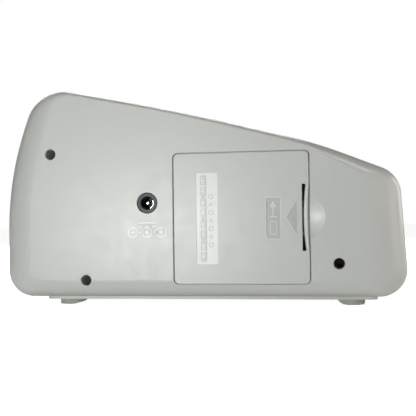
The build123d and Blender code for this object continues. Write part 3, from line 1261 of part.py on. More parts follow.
def backup_cell():
    x, z = BACKUP_PLACE
    low = BOARD_BACK + BACKUP_FLOOR + BEZEL_FIT
    cell = rod_y(x, z, BACKUP_RADIUS, low, low + BACKUP_THICKNESS)
    return fillet(cell.edges().filter_by(GeomType.CIRCLE).sort_by(Axis.Y)[-1], 0.5)


def buzzer():
    x, z = BUZZER_PLACE
    top = BOARD_BACK + BUZZER_HEIGHT
    hole_radius, hole_depth = BUZZER_HOLE
    hole = rod_y(x, z, hole_radius, top - hole_depth, top + OVER)
    return rod_y(x, z, BUZZER_RADIUS, BOARD_BACK, top) - hole


def board_connectors():
    """Headers for the motors, the print head and the power leads."""
    headers = []
    middle = sum(HEADER_X) / 2
    top = BOARD_BACK + HEADER_HEIGHT
    for z, pins in HEADERS:
        half = pins * PIN_PITCH / 2 + HEADER_WALL
        header = block(HEADER_X, (BOARD_BACK, top), (z - half, z + half))
        header = header - block((HEADER_X[0] + HEADER_WALL, HEADER_X[1] - HEADER_WALL),
                                (BOARD_BACK + HEADER_FLOOR, top + OVER),
                                (z - half + HEADER_WALL, z + half - HEADER_WALL))
        for index in range(pins):
            pin_z = z + (index - (pins - 1) / 2) * PIN_PITCH
            header = header + block((middle - PIN_SIZE / 2, middle + PIN_SIZE / 2),
                                    (BOARD_BACK + HEADER_FLOOR / 2, top - HEADER_WALL),
                                    (pin_z - PIN_SIZE / 2, pin_z + PIN_SIZE / 2))
        headers.append(header)
    return Compound(headers)


def tact_switches():
    switches = []
    for x in KEY_XS:
        half = SWITCH_SIZE / 2
        body = block((x - half, x + half), (BOARD_Y - SWITCH_HEIGHT, BOARD_Y), (KEY_Z - half, KEY_Z + half))
        top = BOARD_Y - SWITCH_HEIGHT
        switches.append(body + rod_y(x, KEY_Z, PLUNGER_RADIUS, top - PLUNGER_HEIGHT, top))
    return Compound(switches)


def key_cap(x):
    """Key with a retaining flange behind the front wall and a stem over its switch."""
    half_x, half_z = KEY_SIZE[0] / 2, KEY_SIZE[1] / 2
    cap = panel((x - half_x, x + half_x), (KEY_Z - half_z, KEY_Z + half_z), KEY_CORNER)
    cap = across(cap, FRONT - KEY_STAND, FRONT_IN + KEY_FLANGE)
    cap = fillet(cap.faces().sort_by(Axis.Y)[0].edges(), KEY_EDGE)
    flange = panel((x - half_x - KEY_FLANGE, x + half_x + KEY_FLANGE),
                   (KEY_Z - half_z - KEY_FLANGE, KEY_Z + half_z + KEY_FLANGE), KEY_CORNER)
    flange_end = FRONT_IN + BEZEL_FIT + KEY_FLANGE
    stem_end = BOARD_Y - SWITCH_HEIGHT - PLUNGER_HEIGHT - KEY_TRAVEL - BEZEL_FIT
    cap = cap + across(flange, FRONT_IN + BEZEL_FIT, flange_end)
    return cap + rod_y(x, KEY_Z, KEY_STEM_RADIUS, FRONT_IN + BEZEL_FIT, max(stem_end, flange_end))


def all_parts():
    parts = {
        "front_shell": front_shell(),
        "rear_shell": rear_shell(),
        "battery_door": battery_door(),
        "ribbon_door": ribbon_door(),
        "card_slot_bezel": card_slot_bezel(),
        "case_screws": case_screws(),
        "jack_housing": jack_housing(),
        "jack_pin": jack_pin(),
        "jack_contact": jack_contact(),
        "battery_spring_contacts": battery_contacts(False),
        "battery_tip_contacts": battery_contacts(True),
        "printer_frame": printer_frame(),
        "rear_frame": rear_frame(),
        "frame_spacers": frame_spacers(),
        "frame_screws": frame_screws(),
        "platen": platen(),
        "guide_shafts": guide_shafts(),
        "head_carriage": head_carriage(),
        "print_head": print_head(),
        "drive_plate": drive_plate(),
        "motor_pulley": motor_pulley(),
        "idler_pulley": idler_pulley(),
        "timing_belt": timing_belt(),
        "carriage_motor": carriage_motor(),
        "ribbon_cassette": ribbon_cassette(),
        "cassette_lid": cassette_lid(),
        "ink_ribbon": ink_ribbon(),
        "ribbon_knob": ribbon_knob(),
        "feed_shaft": feed_shaft(),
        "feed_rollers": feed_rollers(),
        "pinch_shaft": pinch_shaft(),
        "pinch_rollers": pinch_rollers(),
        "feed_gear": feed_gear(),
        "feed_pinion": feed_pinion(),
        "feed_motor": feed_motor(),
        "card_switch": card_switch(),
        "card_switch_lever": card_switch_lever(),
        "display_window": display_window(),
        "lcd_bezel": lcd_bezel(),
        "lcd_glass": lcd_glass(),
        "lcd_contact_strips": lcd_contact_strips(),
        "main_board": main_board(),
        "board_screws": board_screws(),
        "circuit_chips": circuit_chips(),
        "capacitors": capacitors(),
        "crystal": crystal(),
        "backup_cell_holder": backup_cell_holder(),
        "backup_cell": backup_cell(),
        "buzzer": buzzer(),
        "board_connectors": board_connectors(),
        "tact_switches": tact_switches(),
        "feet": Compound([foot(*place) for place in feet_places()]),
    }
    for index in range(CELL_COUNT):
        parts[f"battery_{index + 1}"] = battery(index)
    for name, x in zip(KEY_NAMES, KEY_XS):
        parts[name] = key_cap(x)
    return parts


os.makedirs("parts", exist_ok=True)
for name, shape in all_parts().items():
    export_step(shape, f"parts/{name}.step")
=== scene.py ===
import json
import math

import bmesh
import bpy
from mathutils import Matrix, Vector
from mathutils.geometry import tessellate_polygon


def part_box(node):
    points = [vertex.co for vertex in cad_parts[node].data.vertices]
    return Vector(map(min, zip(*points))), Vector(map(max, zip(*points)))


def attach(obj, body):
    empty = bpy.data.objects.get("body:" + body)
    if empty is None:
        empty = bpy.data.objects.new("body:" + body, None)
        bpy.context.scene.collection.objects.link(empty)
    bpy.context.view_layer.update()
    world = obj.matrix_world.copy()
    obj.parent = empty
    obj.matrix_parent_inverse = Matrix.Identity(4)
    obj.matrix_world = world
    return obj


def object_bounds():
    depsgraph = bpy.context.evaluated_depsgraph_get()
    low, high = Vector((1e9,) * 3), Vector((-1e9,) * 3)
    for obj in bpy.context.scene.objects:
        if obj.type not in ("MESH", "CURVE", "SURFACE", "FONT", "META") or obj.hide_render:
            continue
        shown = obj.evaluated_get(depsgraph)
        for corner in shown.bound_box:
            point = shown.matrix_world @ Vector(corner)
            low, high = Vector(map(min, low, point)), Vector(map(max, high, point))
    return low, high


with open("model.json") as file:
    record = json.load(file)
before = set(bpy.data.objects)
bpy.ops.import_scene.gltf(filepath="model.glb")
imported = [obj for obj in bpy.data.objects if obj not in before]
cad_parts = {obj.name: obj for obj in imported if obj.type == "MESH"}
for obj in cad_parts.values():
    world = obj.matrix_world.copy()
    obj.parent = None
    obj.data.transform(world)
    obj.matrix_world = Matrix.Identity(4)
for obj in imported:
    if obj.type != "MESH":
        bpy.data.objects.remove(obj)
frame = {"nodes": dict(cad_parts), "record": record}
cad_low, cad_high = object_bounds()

# Punch time clock seen from behind, in metres. The back with the battery door and the power
# socket faces +Y, the front with the display, keys and ribbon door faces -Y.

MM = 0.001


# ---------------------------------------------------------------- colours and shader wiring
def srgb(red, green, blue):
    """Linear colour from 0 to 255 display values."""
    return tuple(((v / 255 + 0.055) / 1.055) ** 2.4 if v > 10 else v / 255 / 12.92
                 for v in (red, green, blue))


class Graph:
    """One material being wired. Each method adds a node and returns the socket that it feeds."""

    def __init__(self, name, colour, roughness, metallic=0.0, **sockets):
        self.material = bpy.data.materials.new(name)
        self.material.use_nodes = True
        self.tree = self.material.node_tree
        self.shader = self.tree.nodes["Principled BSDF"]
        self.set("Base Color", (*colour, 1.0))
        self.set("Roughness", roughness)
        self.set("Metallic", metallic)
        for key, value in sockets.items():
            self.set(key.replace("_", " "), value)
        self.place = self.add("TexCoord").outputs["Object"]

    def set(self, socket, value):
        """Sets a shader socket, or links it when the value is another node's output."""
        self.feed(self.shader.inputs[socket], value)

    def add(self, kind, **inputs):
        """Adds a node, with its inputs set or linked by name."""
        node = self.tree.nodes.new("ShaderNode" + kind)
        for key, value in inputs.items():
            self.feed(node.inputs[key.replace("_", " ")], value)
        return node

    def feed(self, socket, value):
        """Links a node's output to any socket, or sets the socket to a plain value."""
        if isinstance(value, bpy.types.NodeSocket):
            self.tree.links.new(value, socket)
        else:
            socket.default_value = value

    def stretched(self, x, y, z):
        """Object coordinates scaled on each axis; below 1 draws a pattern out along that axis."""
        node = self.add("Mapping", Vector=self.place)
        node.inputs["Scale"].default_value = (x, y, z)
        return node.outputs["Vector"]

    def noise(self, size, detail=2.0, rough=0.5, at=None):
        """Soft random field with features of about the given size in metres."""
        node = self.add("TexNoise", Vector=at or self.place, Scale=1 / size, Detail=detail, Roughness=rough)
        return node.outputs["Fac"]

    def waves(self, size, direction, distortion=0.0, at=None):
        """Parallel bands across one axis, repeating at the given size in metres."""
        node = self.add("TexWave", Vector=at or self.place, Scale=math.pi / 10 / size,
                        Distortion=distortion)
        node.bands_direction = direction
        return node.outputs["Fac"]

    def level(self, value, low, high, to_low=0.0, to_high=1.0):
        """Maps one range to another, held at its ends."""
        node = self.add("MapRange")
        for key, number in zip(("Value", "From Min", "From Max", "To Min", "To Max"),
                               (value, low, high, to_low, to_high)):
            self.feed(node.inputs[key], number)
        return node.outputs["Result"]

    def math(self, kind, a, b=0.0):
        """One arithmetic step on two values."""
        node = self.add("Math")
        node.operation = kind
        self.feed(node.inputs[0], a)
        self.feed(node.inputs[1], b)
        return node.outputs["Value"]

    def blend(self, share, a, b):
        """Mixes two colours, a where the share is 0 and b where it is 1."""
        node = self.add("Mix")
        node.data_type = "RGBA"
        self.feed(node.inputs["Factor"], share)
        self.feed(node.inputs[6], (*a, 1.0) if isinstance(a, tuple) else a)
        self.feed(node.inputs[7], (*b, 1.0) if isinstance(b, tuple) else b)
        return node.outputs[2]

    def axis(self, name):
        return self.add("SeparateXYZ", Vector=self.place).outputs[name]

    def bump(self, height, depth, strength=1.0):
        """Adds relief of the given depth in metres on top of what the normal already has."""
        node = self.add("Bump", Height=height, Distance=depth, Strength=strength)
        before = self.shader.inputs["Normal"].links
        if before:
            self.tree.links.new(before[0].from_socket, node.inputs["Normal"])
        self.set("Normal", node.outputs["Normal"])


def shade(colour, by):
    """A colour made lighter or darker by a factor."""
    return tuple(min(1.0, c * by) for c in colour)


# ---------------------------------------------------------------- material families
def moulded(name, colour, roughness, grain=0.35, depth=0.012, mottle=0.03, **sockets):
    """Injection-moulded plastic: eroded grain, faint flow mottling, uneven gloss. Grain in mm."""
    g = Graph(name, colour, roughness, **sockets)
    flow = g.noise(22 * MM, 3.0, 0.55)
    fine = g.noise(1.1 * MM, 2.0)
    tone = g.blend(g.level(flow, 0.3, 0.7), shade(colour, 1 - mottle), shade(colour, 1 + mottle))
    speckle = g.level(fine, 0.35, 0.65, 0.0, 0.5)
    g.set("Base Color", g.blend(speckle, tone, shade(colour, 1 - mottle * 0.8)))
    patch = g.noise(6 * MM, 3.0)
    g.set("Roughness", g.level(patch, 0.3, 0.7, roughness - 0.04, roughness + 0.05))
    g.bump(g.noise(grain * MM, 3.0, 0.6), depth * MM)
    return g


def metal(name, colour, roughness, stretch=(1, 1, 1), grain=0.12, depth=0.004, tarnish=0.06):
    """Metal with fine tool or rolling marks along the axis whose stretch is smallest."""
    g = Graph(name, colour, roughness, metallic=1.0)
    along = g.stretched(*stretch)
    streaks = g.noise(grain * MM, 4.0, 0.6, at=along)
    stain = g.noise(7 * MM, 4.0, 0.6)
    worn = g.blend(g.level(stain, 0.35, 0.7), colour, shade(colour, 1 - tarnish * 2))
    g.set("Base Color", g.blend(g.level(streaks, 0.3, 0.7, 0.0, 0.35), worn, shade(colour, 1 - tarnish)))
    rub = g.noise(1.6 * MM, 3.0, at=along)
    g.set("Roughness", g.level(rub, 0.3, 0.7, roughness * 0.75, roughness * 1.3))
    g.bump(streaks, depth * MM)
    return g


def rubber(name, colour, roughness, grain=0.5):
    """Matt rubber with a little pale dust in its grain."""
    g = Graph(name, colour, roughness, Specular_IOR_Level=0.35)
    dust = g.noise(3 * MM, 4.0, 0.65)
    g.set("Base Color", g.blend(g.level(dust, 0.45, 0.8, 0.0, 0.6), colour, shade(colour, 1.7)))
    g.set("Roughness", g.level(g.noise(1.5 * MM), 0.3, 0.7, roughness - 0.05, roughness + 0.08))
    g.bump(g.noise(grain * MM, 3.0), 0.02 * MM)
    return g


# ---------------------------------------------------------------- one finish for each slot
CASING = srgb(202, 203, 199)
SINK_DEPTH = 0.06


def casing_plastic():
    """Light grey ABS: fine grain under a thin gloss, and three faint sink marks on the back."""
    g = moulded("casing_plastic", CASING, 0.37, grain=0.3, depth=0.006, mottle=0.012,
                Coat_Weight=0.12, Coat_Roughness=0.22)
    height = None
    for x, z, radius in SINK_MARKS:
        offset = g.add("VectorMath", Vector=g.place)
        offset.operation = "DISTANCE"
        offset.inputs[1].default_value = (x, cad_high.y, z)
        dent = g.level(offset.outputs["Value"], 0.0, radius, 0.0, 1.0)
        height = dent if height is None else g.math("MULTIPLY", height, dent)
    g.bump(height, SINK_DEPTH * MM)
    return g.material


def dark_plastic():
    return moulded("dark_plastic", srgb(44, 46, 50), 0.45, grain=0.4, depth=0.014, mottle=0.06).material


def key_plastic():
    return moulded("key_plastic", srgb(92, 98, 104), 0.42, grain=0.25, depth=0.01, mottle=0.04).material


def knob_plastic():
    return moulded("knob_plastic", srgb(58, 104, 142), 0.35, grain=0.5, depth=0.01, mottle=0.05).material


def mechanism_plastic():
    """Natural acetal of the cassette and gears, which lets a little light in."""
    g = moulded("mechanism_plastic", srgb(226, 224, 212), 0.4, grain=0.6, depth=0.01, mottle=0.04,
                Subsurface_Weight=0.08, Subsurface_Radius=(0.004, 0.003, 0.002), Subsurface_Scale=0.5)
    return g.material


def screw_steel():
    return metal("screw_steel", srgb(88, 88, 90), 0.38, stretch=(1, 0.2, 1), grain=0.2).material


def bright_metal():
    return metal("bright_metal", srgb(214, 212, 206), 0.22, stretch=(1, 1, 0.15), grain=0.15,
                 tarnish=0.04).material


def sheet_steel():
    """Zinc-plated sheet with rolling marks."""
    return metal("sheet_steel", srgb(176, 180, 182), 0.36, stretch=(0.1, 1, 1), grain=0.25).material


def cast_metal():
    return metal("cast_metal", srgb(132, 132, 134), 0.5, grain=0.5, depth=0.02, tarnish=0.1).material


def motor_can():
    return metal("motor_can", srgb(196, 194, 186), 0.25, stretch=(0.08, 1, 1), grain=0.2,
                 tarnish=0.05).material


def black_rubber():
    return rubber("black_rubber", srgb(30, 30, 31), 0.72).material


def contact_rubber():
    return rubber("contact_rubber", srgb(206, 118, 128), 0.6).material


def foot_rubber():
    return rubber("foot_rubber", srgb(168, 168, 163), 0.6, grain=0.4).material


def ribbon_fabric():
    """Inked nylon ribbon: a fine plain weave, violet-black, shinier where the ink is wet."""
    g = Graph("ribbon_fabric", srgb(34, 26, 52), 0.7, Sheen_Weight=0.3)
    warp = g.waves(0.35 * MM, "X")
    weft = g.waves(0.35 * MM, "Z")
    weave = g.math("MULTIPLY", warp, weft)
    g.set("Base Color", g.blend(weave, srgb(18, 13, 30), srgb(62, 50, 92)))
    g.set("Roughness", g.level(g.noise(4 * MM), 0.35, 0.65, 0.5, 0.8))
    g.bump(weave, 0.03 * MM)
    return g.material


def window_acrylic():
    """Clear window, wiped now and then."""
    g = Graph("window_acrylic", srgb(236, 240, 242), 0.03, Transmission_Weight=1.0, IOR=1.49)
    smear = g.noise(9 * MM, 4.0, 0.6)
    g.set("Roughness", g.level(smear, 0.4, 0.75, 0.02, 0.09))
    return g.material


def lcd_glass():
    """Grey-green display glass, slightly uneven. Its lit segments are a piece of their own."""
    g = Graph("lcd_glass", srgb(150, 160, 142), 0.16, Coat_Weight=0.4)
    wash = g.noise(14 * MM, 2.0)
    g.set("Base Color", g.blend(g.level(wash, 0.3, 0.7), srgb(143, 153, 134), srgb(158, 168, 150)))
    g.bump(g.noise(0.2 * MM), 0.002 * MM)
    return g.material


def board_laminate():
    """Green solder mask over copper tracks that run in both directions."""
    g = Graph("board_laminate", srgb(24, 84, 52), 0.3, Coat_Weight=0.5)
    across = g.level(g.waves(1.3 * MM, "X", distortion=1.2, at=g.stretched(1, 1, 0.15)), 0.62, 0.7)
    along = g.level(g.waves(1.3 * MM, "Z", distortion=1.2, at=g.stretched(0.15, 1, 1)), 0.62, 0.7)
    zone = g.level(g.noise(9 * MM, 0.0), 0.48, 0.5)
    tracks = g.blend(zone, (0.0, 0.0, 0.0), (1.0, 1.0, 1.0))
    lines = g.math("ADD", g.math("MULTIPLY", along, tracks),
                   g.math("MULTIPLY", across, g.math("SUBTRACT", 1.0, tracks)))
    g.set("Base Color", g.blend(lines, srgb(20, 74, 46), srgb(46, 116, 66)))
    g.bump(lines, 0.03 * MM)
    return g.material


def chip_plastic():
    return moulded("chip_plastic", srgb(38, 38, 40), 0.55, grain=0.3, depth=0.02, mottle=0.06).material


def capacitor_can():
    return metal("capacitor_can", srgb(60, 66, 96), 0.3, grain=0.3, tarnish=0.1).material


def battery_jacket():
    """Printed foil sleeve: dark body, pale band towards one end and bare steel at both ends."""
    g = Graph("battery_jacket", srgb(46, 50, 58), 0.28, Coat_Weight=0.3)
    low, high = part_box("battery_1")
    length = high.x - low.x
    x = g.axis("X")
    share = g.level(x, low.x, high.x)
    end = g.math("ABSOLUTE", g.math("SUBTRACT", share, 0.5))
    band = g.math("MULTIPLY", g.level(share, 0.70, 0.705), g.level(share, 0.93, 0.925))
    stripe = g.math("MULTIPLY", g.level(share, 0.66, 0.665), g.level(share, 0.685, 0.68))
    steel = g.level(end, 0.5 - 2.4 * MM / length, 0.5 - 2.2 * MM / length)
    printed = g.blend(band, srgb(44, 48, 56), srgb(196, 120, 58))
    printed = g.blend(stripe, printed, srgb(214, 210, 200))
    g.set("Base Color", g.blend(steel, printed, srgb(190, 190, 188)))
    g.set("Metallic", g.level(steel, 0.0, 1.0, 0.35, 1.0))
    g.set("Roughness", g.level(g.noise(3 * MM, 3.0), 0.3, 0.7, 0.2, 0.34))
    g.bump(g.noise(0.9 * MM, 2.0), 0.006 * MM)
    return g.material


def highlit_label_plastic():
    """Polished field of the label panel, also used on the raised socket signs: the casing's colour,
    smoother, and painted paler as a painted sheen and highlight.
    """
    return moulded("highlit_label_plastic", srgb(226, 229, 226), 0.3, grain=0.6, depth=0.003, mottle=0.01).material


def shaded_field_plastic():
    """Coarser texture at the bottom of the sunk signs, painted darker as painted shade in the recess."""
    return moulded("shaded_field_plastic", srgb(193, 195, 191), 0.5, grain=0.25, depth=0.015, mottle=0.02).material


def highlit_relief_plastic():
    """Raised signs and rims, glossier than the casing round them and painted paler as a painted highlight
    where they catch the light.
    """
    return moulded("highlit_relief_plastic", srgb(217, 219, 216), 0.3, grain=0.4, depth=0.003, mottle=0.01).material


def display_ink():
    """Dark lit segments of the display."""
    g = Graph("display_ink", srgb(34, 38, 44), 0.35)
    g.set("Base Color", g.blend(g.level(g.noise(2 * MM), 0.3, 0.7), srgb(30, 34, 40), srgb(44, 48, 54)))
    return g.material


def mask_ink():
    """Dark ink printed on the back of the display window."""
    g = Graph("mask_ink", srgb(40, 43, 48), 0.5)
    cloud = g.level(g.noise(1 * MM, 3.0), 0.3, 0.7)
    g.set("Base Color", g.blend(cloud, srgb(38, 41, 46), srgb(46, 49, 54)))
    g.bump(g.noise(0.3 * MM), 0.003 * MM)
    return g.material


def mark_paint():
    """Pad-printed off-white ink, slightly uneven."""
    g = Graph("mark_paint", srgb(226, 226, 220), 0.55)
    thin = g.level(g.noise(0.8 * MM, 3.0), 0.35, 0.75)
    g.set("Base Color", g.blend(thin, srgb(230, 230, 224), srgb(206, 206, 200)))
    g.bump(g.noise(0.4 * MM), 0.004 * MM)
    return g.material


# ---------------------------------------------------------------- places read from the frame
BACK_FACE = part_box("battery_door")[1].y
DOOR_LOW, DOOR_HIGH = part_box("battery_door")
JACK_LOW, JACK_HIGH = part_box("jack_housing")
JACK_X = (JACK_LOW.x + JACK_HIGH.x) / 2
JACK_Z = (JACK_LOW.z + JACK_HIGH.z) / 2
DOOR_MIDDLE_Z = (DOOR_LOW.z + DOOR_HIGH.z) / 2 / MM
# Moulded fields of the battery door, in mm, as in the CAD part.
LABEL_X = -5.8
LABEL_SIZE = (10.6, 43.7)
LABEL_RECESS = 0.25
LABEL_FIT = 0.3             # the polished plates stay this much inside their sunk fields, in all
NOTE_CENTRE = (-37.1, 41.8)
NOTE_SIZE = (6.5, 19.2)
NOTE_RECESS = 0.3
ARROW_TIP = (-43.5, 42.0)
ARROW_LENGTH = 4.6
ARROW_WIDTH = 15.3
ARROW_RECESS = 0.45
TONGUE_LENGTH = 29.6
TONGUE_WIDTH = 1.5
TONGUE_BOW = 1.0
TONGUE_RELIEF = 0.6
# Faint moulding sinks round the power socket: X, Z and radius in metres.
SINK_MARKS = [
    (JACK_X - 4 * MM, JACK_Z + 15 * MM, 3.2 * MM),
    (JACK_X - 2.5 * MM, JACK_Z - 15 * MM, 2.6 * MM),
    (JACK_X + 16 * MM, JACK_Z - 20 * MM, 2.4 * MM),
]


FINISH_MAKERS = (
    casing_plastic, dark_plastic, key_plastic, knob_plastic, mechanism_plastic, screw_steel, bright_metal,
    sheet_steel, cast_metal, motor_can, black_rubber, contact_rubber, foot_rubber, ribbon_fabric,
    window_acrylic, lcd_glass, board_laminate, chip_plastic, capacitor_can, battery_jacket,
    highlit_label_plastic, shaded_field_plastic, highlit_relief_plastic, display_ink, mask_ink, mark_paint,
)


def dress_nodes():
    """Makes every finish and gives each CAD node the one of its slot."""
    finishes = {make.__name__: make() for make in FINISH_MAKERS}
    for part in frame["record"]["subparts"]:
        node = frame["nodes"].get(part["node"])
        if node is None:
            continue
        node.data.materials.clear()
        node.data.materials.append(finishes[part["material_slot"]])
    return finishes


# ---------------------------------------------------------------- raised and sunk marks
def bar(x, z, wide, high, turn=0.0):
    """Outline of a rectangle, turned about its middle. X, Z and sizes in mm."""
    corners = [(-wide / 2, -high / 2), (wide / 2, -high / 2), (wide / 2, high / 2), (-wide / 2, high / 2)]
    c, s = math.cos(turn), math.sin(turn)
    return [[(x + a * c - b * s, z + a * s + b * c) for a, b in corners]]


def rounded_bar(x, z, wide, high, radius, steps=6):
    """Outline of a rectangle with rounded corners."""
    points = []
    for corner, (sx, sz) in enumerate(((1, 1), (-1, 1), (-1, -1), (1, -1))):
        for i in range(steps + 1):
            angle = math.pi / 2 * (corner + i / steps)
            points.append((x + sx * (wide / 2 - radius) + radius * math.cos(angle),
                           z + sz * (high / 2 - radius) + radius * math.sin(angle)))
    return [points]


def triangle(first, second, third):
    """Outline of a triangle from its corners."""
    return [[first, second, third]]


def circle(x, z, radius, steps=32):
    """Points round a circle, one closed loop."""
    turns = [2 * math.pi * i / steps for i in range(steps)]
    return [(x + radius * math.cos(turn), z + radius * math.sin(turn)) for turn in turns]


def ring(x, z, radius, line):
    """Outline of a ring of the given outer radius and line width."""
    return [circle(x, z, radius), circle(x, z, radius - line)]


def bow(x, z, radius, line, start, end, steps=20):
    """Outline of part of a ring, from one angle to another in degrees."""
    angles = [math.radians(start + (end - start) * i / steps) for i in range(steps + 1)]
    outer = [(x + radius * math.cos(a), z + radius * math.sin(a)) for a in angles]
    inside = radius - line
    inner = [(x + inside * math.cos(a), z + inside * math.sin(a)) for a in reversed(angles)]
    return [outer + inner]


def frame_outline(x, z, wide, high, line):
    """Outline of an open rectangle with the given line width."""
    return bar(x, z, wide, high) + bar(x, z, wide - 2 * line, high - 2 * line)


def plus(x, z, size, line):
    """Outline of a plus sign."""
    a, b = size / 2, line / 2
    return [[(x - a, z - b), (x - b, z - b), (x - b, z - a), (x + b, z - a),
             (x + b, z - b), (x + a, z - b), (x + a, z + b), (x + b, z + b),
             (x + b, z + a), (x - b, z + a), (x - b, z + b), (x - a, z + b)]]


ROOT = 0.1                  # how far a mark reaches into the face that carries it, in mm
SHARP_ANGLE = 0.6           # edges of a mark that bend by more than this, in radians, are rounded
SAME_PLACE = 1e-7           # metres


def marks(name, shapes, root, top, body, material, edge=0.07):
    """Closed flat pieces between two depths, root and top in mm, with a rounded outer edge."""
    build = bmesh.new()
    for loops in shapes:
        flat = [[Vector((x, z, 0.0)) for x, z in loop] for loop in loops]
        points = [p for loop in flat for p in loop]
        low = [build.verts.new((p.x * MM, root * MM, p.y * MM)) for p in points]
        high = [build.verts.new((p.x * MM, top * MM, p.y * MM)) for p in points]
        for tri in tessellate_polygon(flat):
            build.faces.new([high[i] for i in tri])
            build.faces.new([low[i] for i in reversed(tri)])
        first = 0
        for loop in flat:
            count = len(loop)
            for i in range(count):
                a, b = first + i, first + (i + 1) % count
                build.faces.new([low[a], low[b], high[b], high[a]])
            first += count
    bmesh.ops.recalc_face_normals(build, faces=build.faces)
    sharp = [e for e in build.edges if len(e.link_faces) == 2 and e.calc_face_angle() > SHARP_ANGLE
             and all(abs(v.co.y - top * MM) < SAME_PLACE for v in e.verts)]
    bmesh.ops.bevel(build, geom=sharp, offset=edge * MM, segments=2, profile=0.6, affect="EDGES",
                    clamp_overlap=True)
    mesh = bpy.data.meshes.new(name)
    build.to_mesh(mesh)
    build.free()
    piece = bpy.data.objects.new(name, mesh)
    bpy.context.scene.collection.objects.link(piece)
    mesh.materials.append(material)
    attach(piece, body)


# Signs under the power socket, in mm: how far below its middle they stand, and their line.
CURRENT_SIGN_DROP = 10.2
POLARITY_SIGN_DROP = 14.0
SOCKET_SIGN_LINE = 0.55
SOCKET_SIGN_RISE = 0.35
CURRENT_SIGN_DASHES = (-1, 0, 1)
POLARITY_PITCH = 7.0
POLARITY_RADIUS = 2.6


def socket_marks(finish):
    """Direct-current sign and centre-positive sign under the power socket, raised on the back and painted
    paler as a painted highlight where they catch the light.
    """
    x, z, back = JACK_X / MM, JACK_Z / MM, BACK_FACE / MM
    sign_z = z - CURRENT_SIGN_DROP
    current = [bar(x - 0.3, sign_z + 0.8, 9.6, 0.8)]
    for step in CURRENT_SIGN_DASHES:
        current.append(bar(x - 0.3 + step * 3.5, sign_z - 0.9, 2.6, 0.8))
    row, line = z - POLARITY_SIGN_DROP, SOCKET_SIGN_LINE
    pitch, radius = POLARITY_PITCH, POLARITY_RADIUS
    sign = [ring(x + pitch, row, radius, line), bar(x + pitch, row, 2.6, line)]
    sign += [bow(x, row, radius, line, 30, 330), ring(x, row, 0.9, 0.85)]
    sign += [ring(x - pitch, row, radius, line), plus(x - pitch, row, 2.8, line)]
    sign += [bar(x + pitch / 2, row, pitch - 2 * radius, line),
             bar(x - pitch / 2 - 0.3, row, pitch - 4.4, line)]
    # The signs' paler finish is a painted highlight on the raised strokes.
    for name, shapes in (("direct_current_mark", current), ("polarity_mark", sign)):
        marks(name, shapes, back - ROOT, back + SOCKET_SIGN_RISE, "casing", finish,
              edge=0.14)


def cell_sign(x, z, high, line, up):
    """Upright battery pictogram with its plus and minus; up is 1 or -1."""
    wide = high * 0.56
    return [
        frame_outline(x, z, wide, high, line),
        bar(x, z + up * (high / 2 + 0.2), wide * 0.4, 0.45),
        plus(x, z + up * high * 0.24, wide * 0.5, line),
        bar(x, z - up * high * 0.24, wide * 0.5, line),
    ]


def door_mark(name, shapes, floor, rise, material, edge=0.07):
    """A mark of the battery door, raised from its face or from the floor of a sunk field."""
    marks(name, shapes, floor - ROOT, floor + rise, "battery_door", material, edge)


# Signs on the label panel, in mm.
LABEL_LINE = 0.3
CELL_SIGNS = 8
CELL_SIGN_STEP = 5.15
CELL_SIGN_HIGH = 4.1
LABEL_TICKS = 7
LABEL_TICK_STEP = 3.8
LABEL_RULE_LENGTH = 41.0


def label_marks(finishes):
    """Label panel, polished and painted paler as a painted sheen, with a row of cell pictograms, a row of
    small signs and a rule between.
    """
    casing = finishes["casing_plastic"]
    x, z, floor = LABEL_X, DOOR_MIDDLE_Z, BACK_FACE / MM - LABEL_RECESS
    plate = [bar(x, z, LABEL_SIZE[0] - LABEL_FIT, LABEL_SIZE[1] - LABEL_FIT)]
    # The plate's paler colour is a painted sheen of the polished field.
    door_mark("door_label_sheen_plate", plate, floor, 0.05, finishes["highlit_label_plastic"], edge=0.04)
    cells = []
    for index in range(CELL_SIGNS):
        height = z + (index - (CELL_SIGNS - 1) / 2) * CELL_SIGN_STEP
        cells += cell_sign(x + 2.0, height, CELL_SIGN_HIGH, LABEL_LINE, 1 if index % 2 else -1)
    ticks = []
    for step in range(-(LABEL_TICKS // 2), LABEL_TICKS // 2 + 1):
        place = (x - 1.8, z - 1.0 + step * LABEL_TICK_STEP)
        ticks.append(ring(*place, 1.15, LABEL_LINE) if step % 2 else plus(*place, 2.2, LABEL_LINE))
    rule = [bar(x + 0.45, z, 0.28, LABEL_RULE_LENGTH)]
    door_mark("door_cell_signs", cells, floor, 0.3, casing)
    door_mark("door_label_ticks", ticks, floor, 0.3, casing)
    door_mark("door_label_rule", rule, floor, 0.22, casing)


def note_marks(finishes):
    """Note panel: its textured floor, darker as painted shade, the rim round it and a door with an upward
    arrow, both paler as a painted highlight.
    """
    relief = finishes["highlit_relief_plastic"]
    x, z = NOTE_CENTRE
    wide, high = NOTE_SIZE
    back = BACK_FACE / MM
    floor = back - NOTE_RECESS
    field = [rounded_bar(x, z, wide - LABEL_FIT, high - LABEL_FIT, 0.5)]
    door_mark("door_note_shaded_field", field, floor, 0.04, finishes["shaded_field_plastic"], edge=0.02)
    rim = [rounded_bar(x, z, wide + 1.0, high + 1.0, 1.0) + rounded_bar(x, z, wide, high, 0.6)]
    door_mark("door_note_rim", rim, back, 0.14, relief)
    sign = [rounded_bar(x, z - 4.6, 3.6, 6.4, 0.8) + rounded_bar(x, z - 4.6, 2.5, 5.3, 0.4)]
    sign += [bar(x, z + 0.6, 3.6, 0.6), bar(x, z + 3.2, 0.65, 4.0)]
    sign.append(triangle((x, z + 8.2), (x - 1.8, z + 5.0), (x + 1.8, z + 5.0)))
    door_mark("door_lift_sign", sign, floor, 0.4, relief, edge=0.12)


HATCH_RIBS = 8
HATCH_STEP = 0.42
HATCH_MARGIN = 1.1


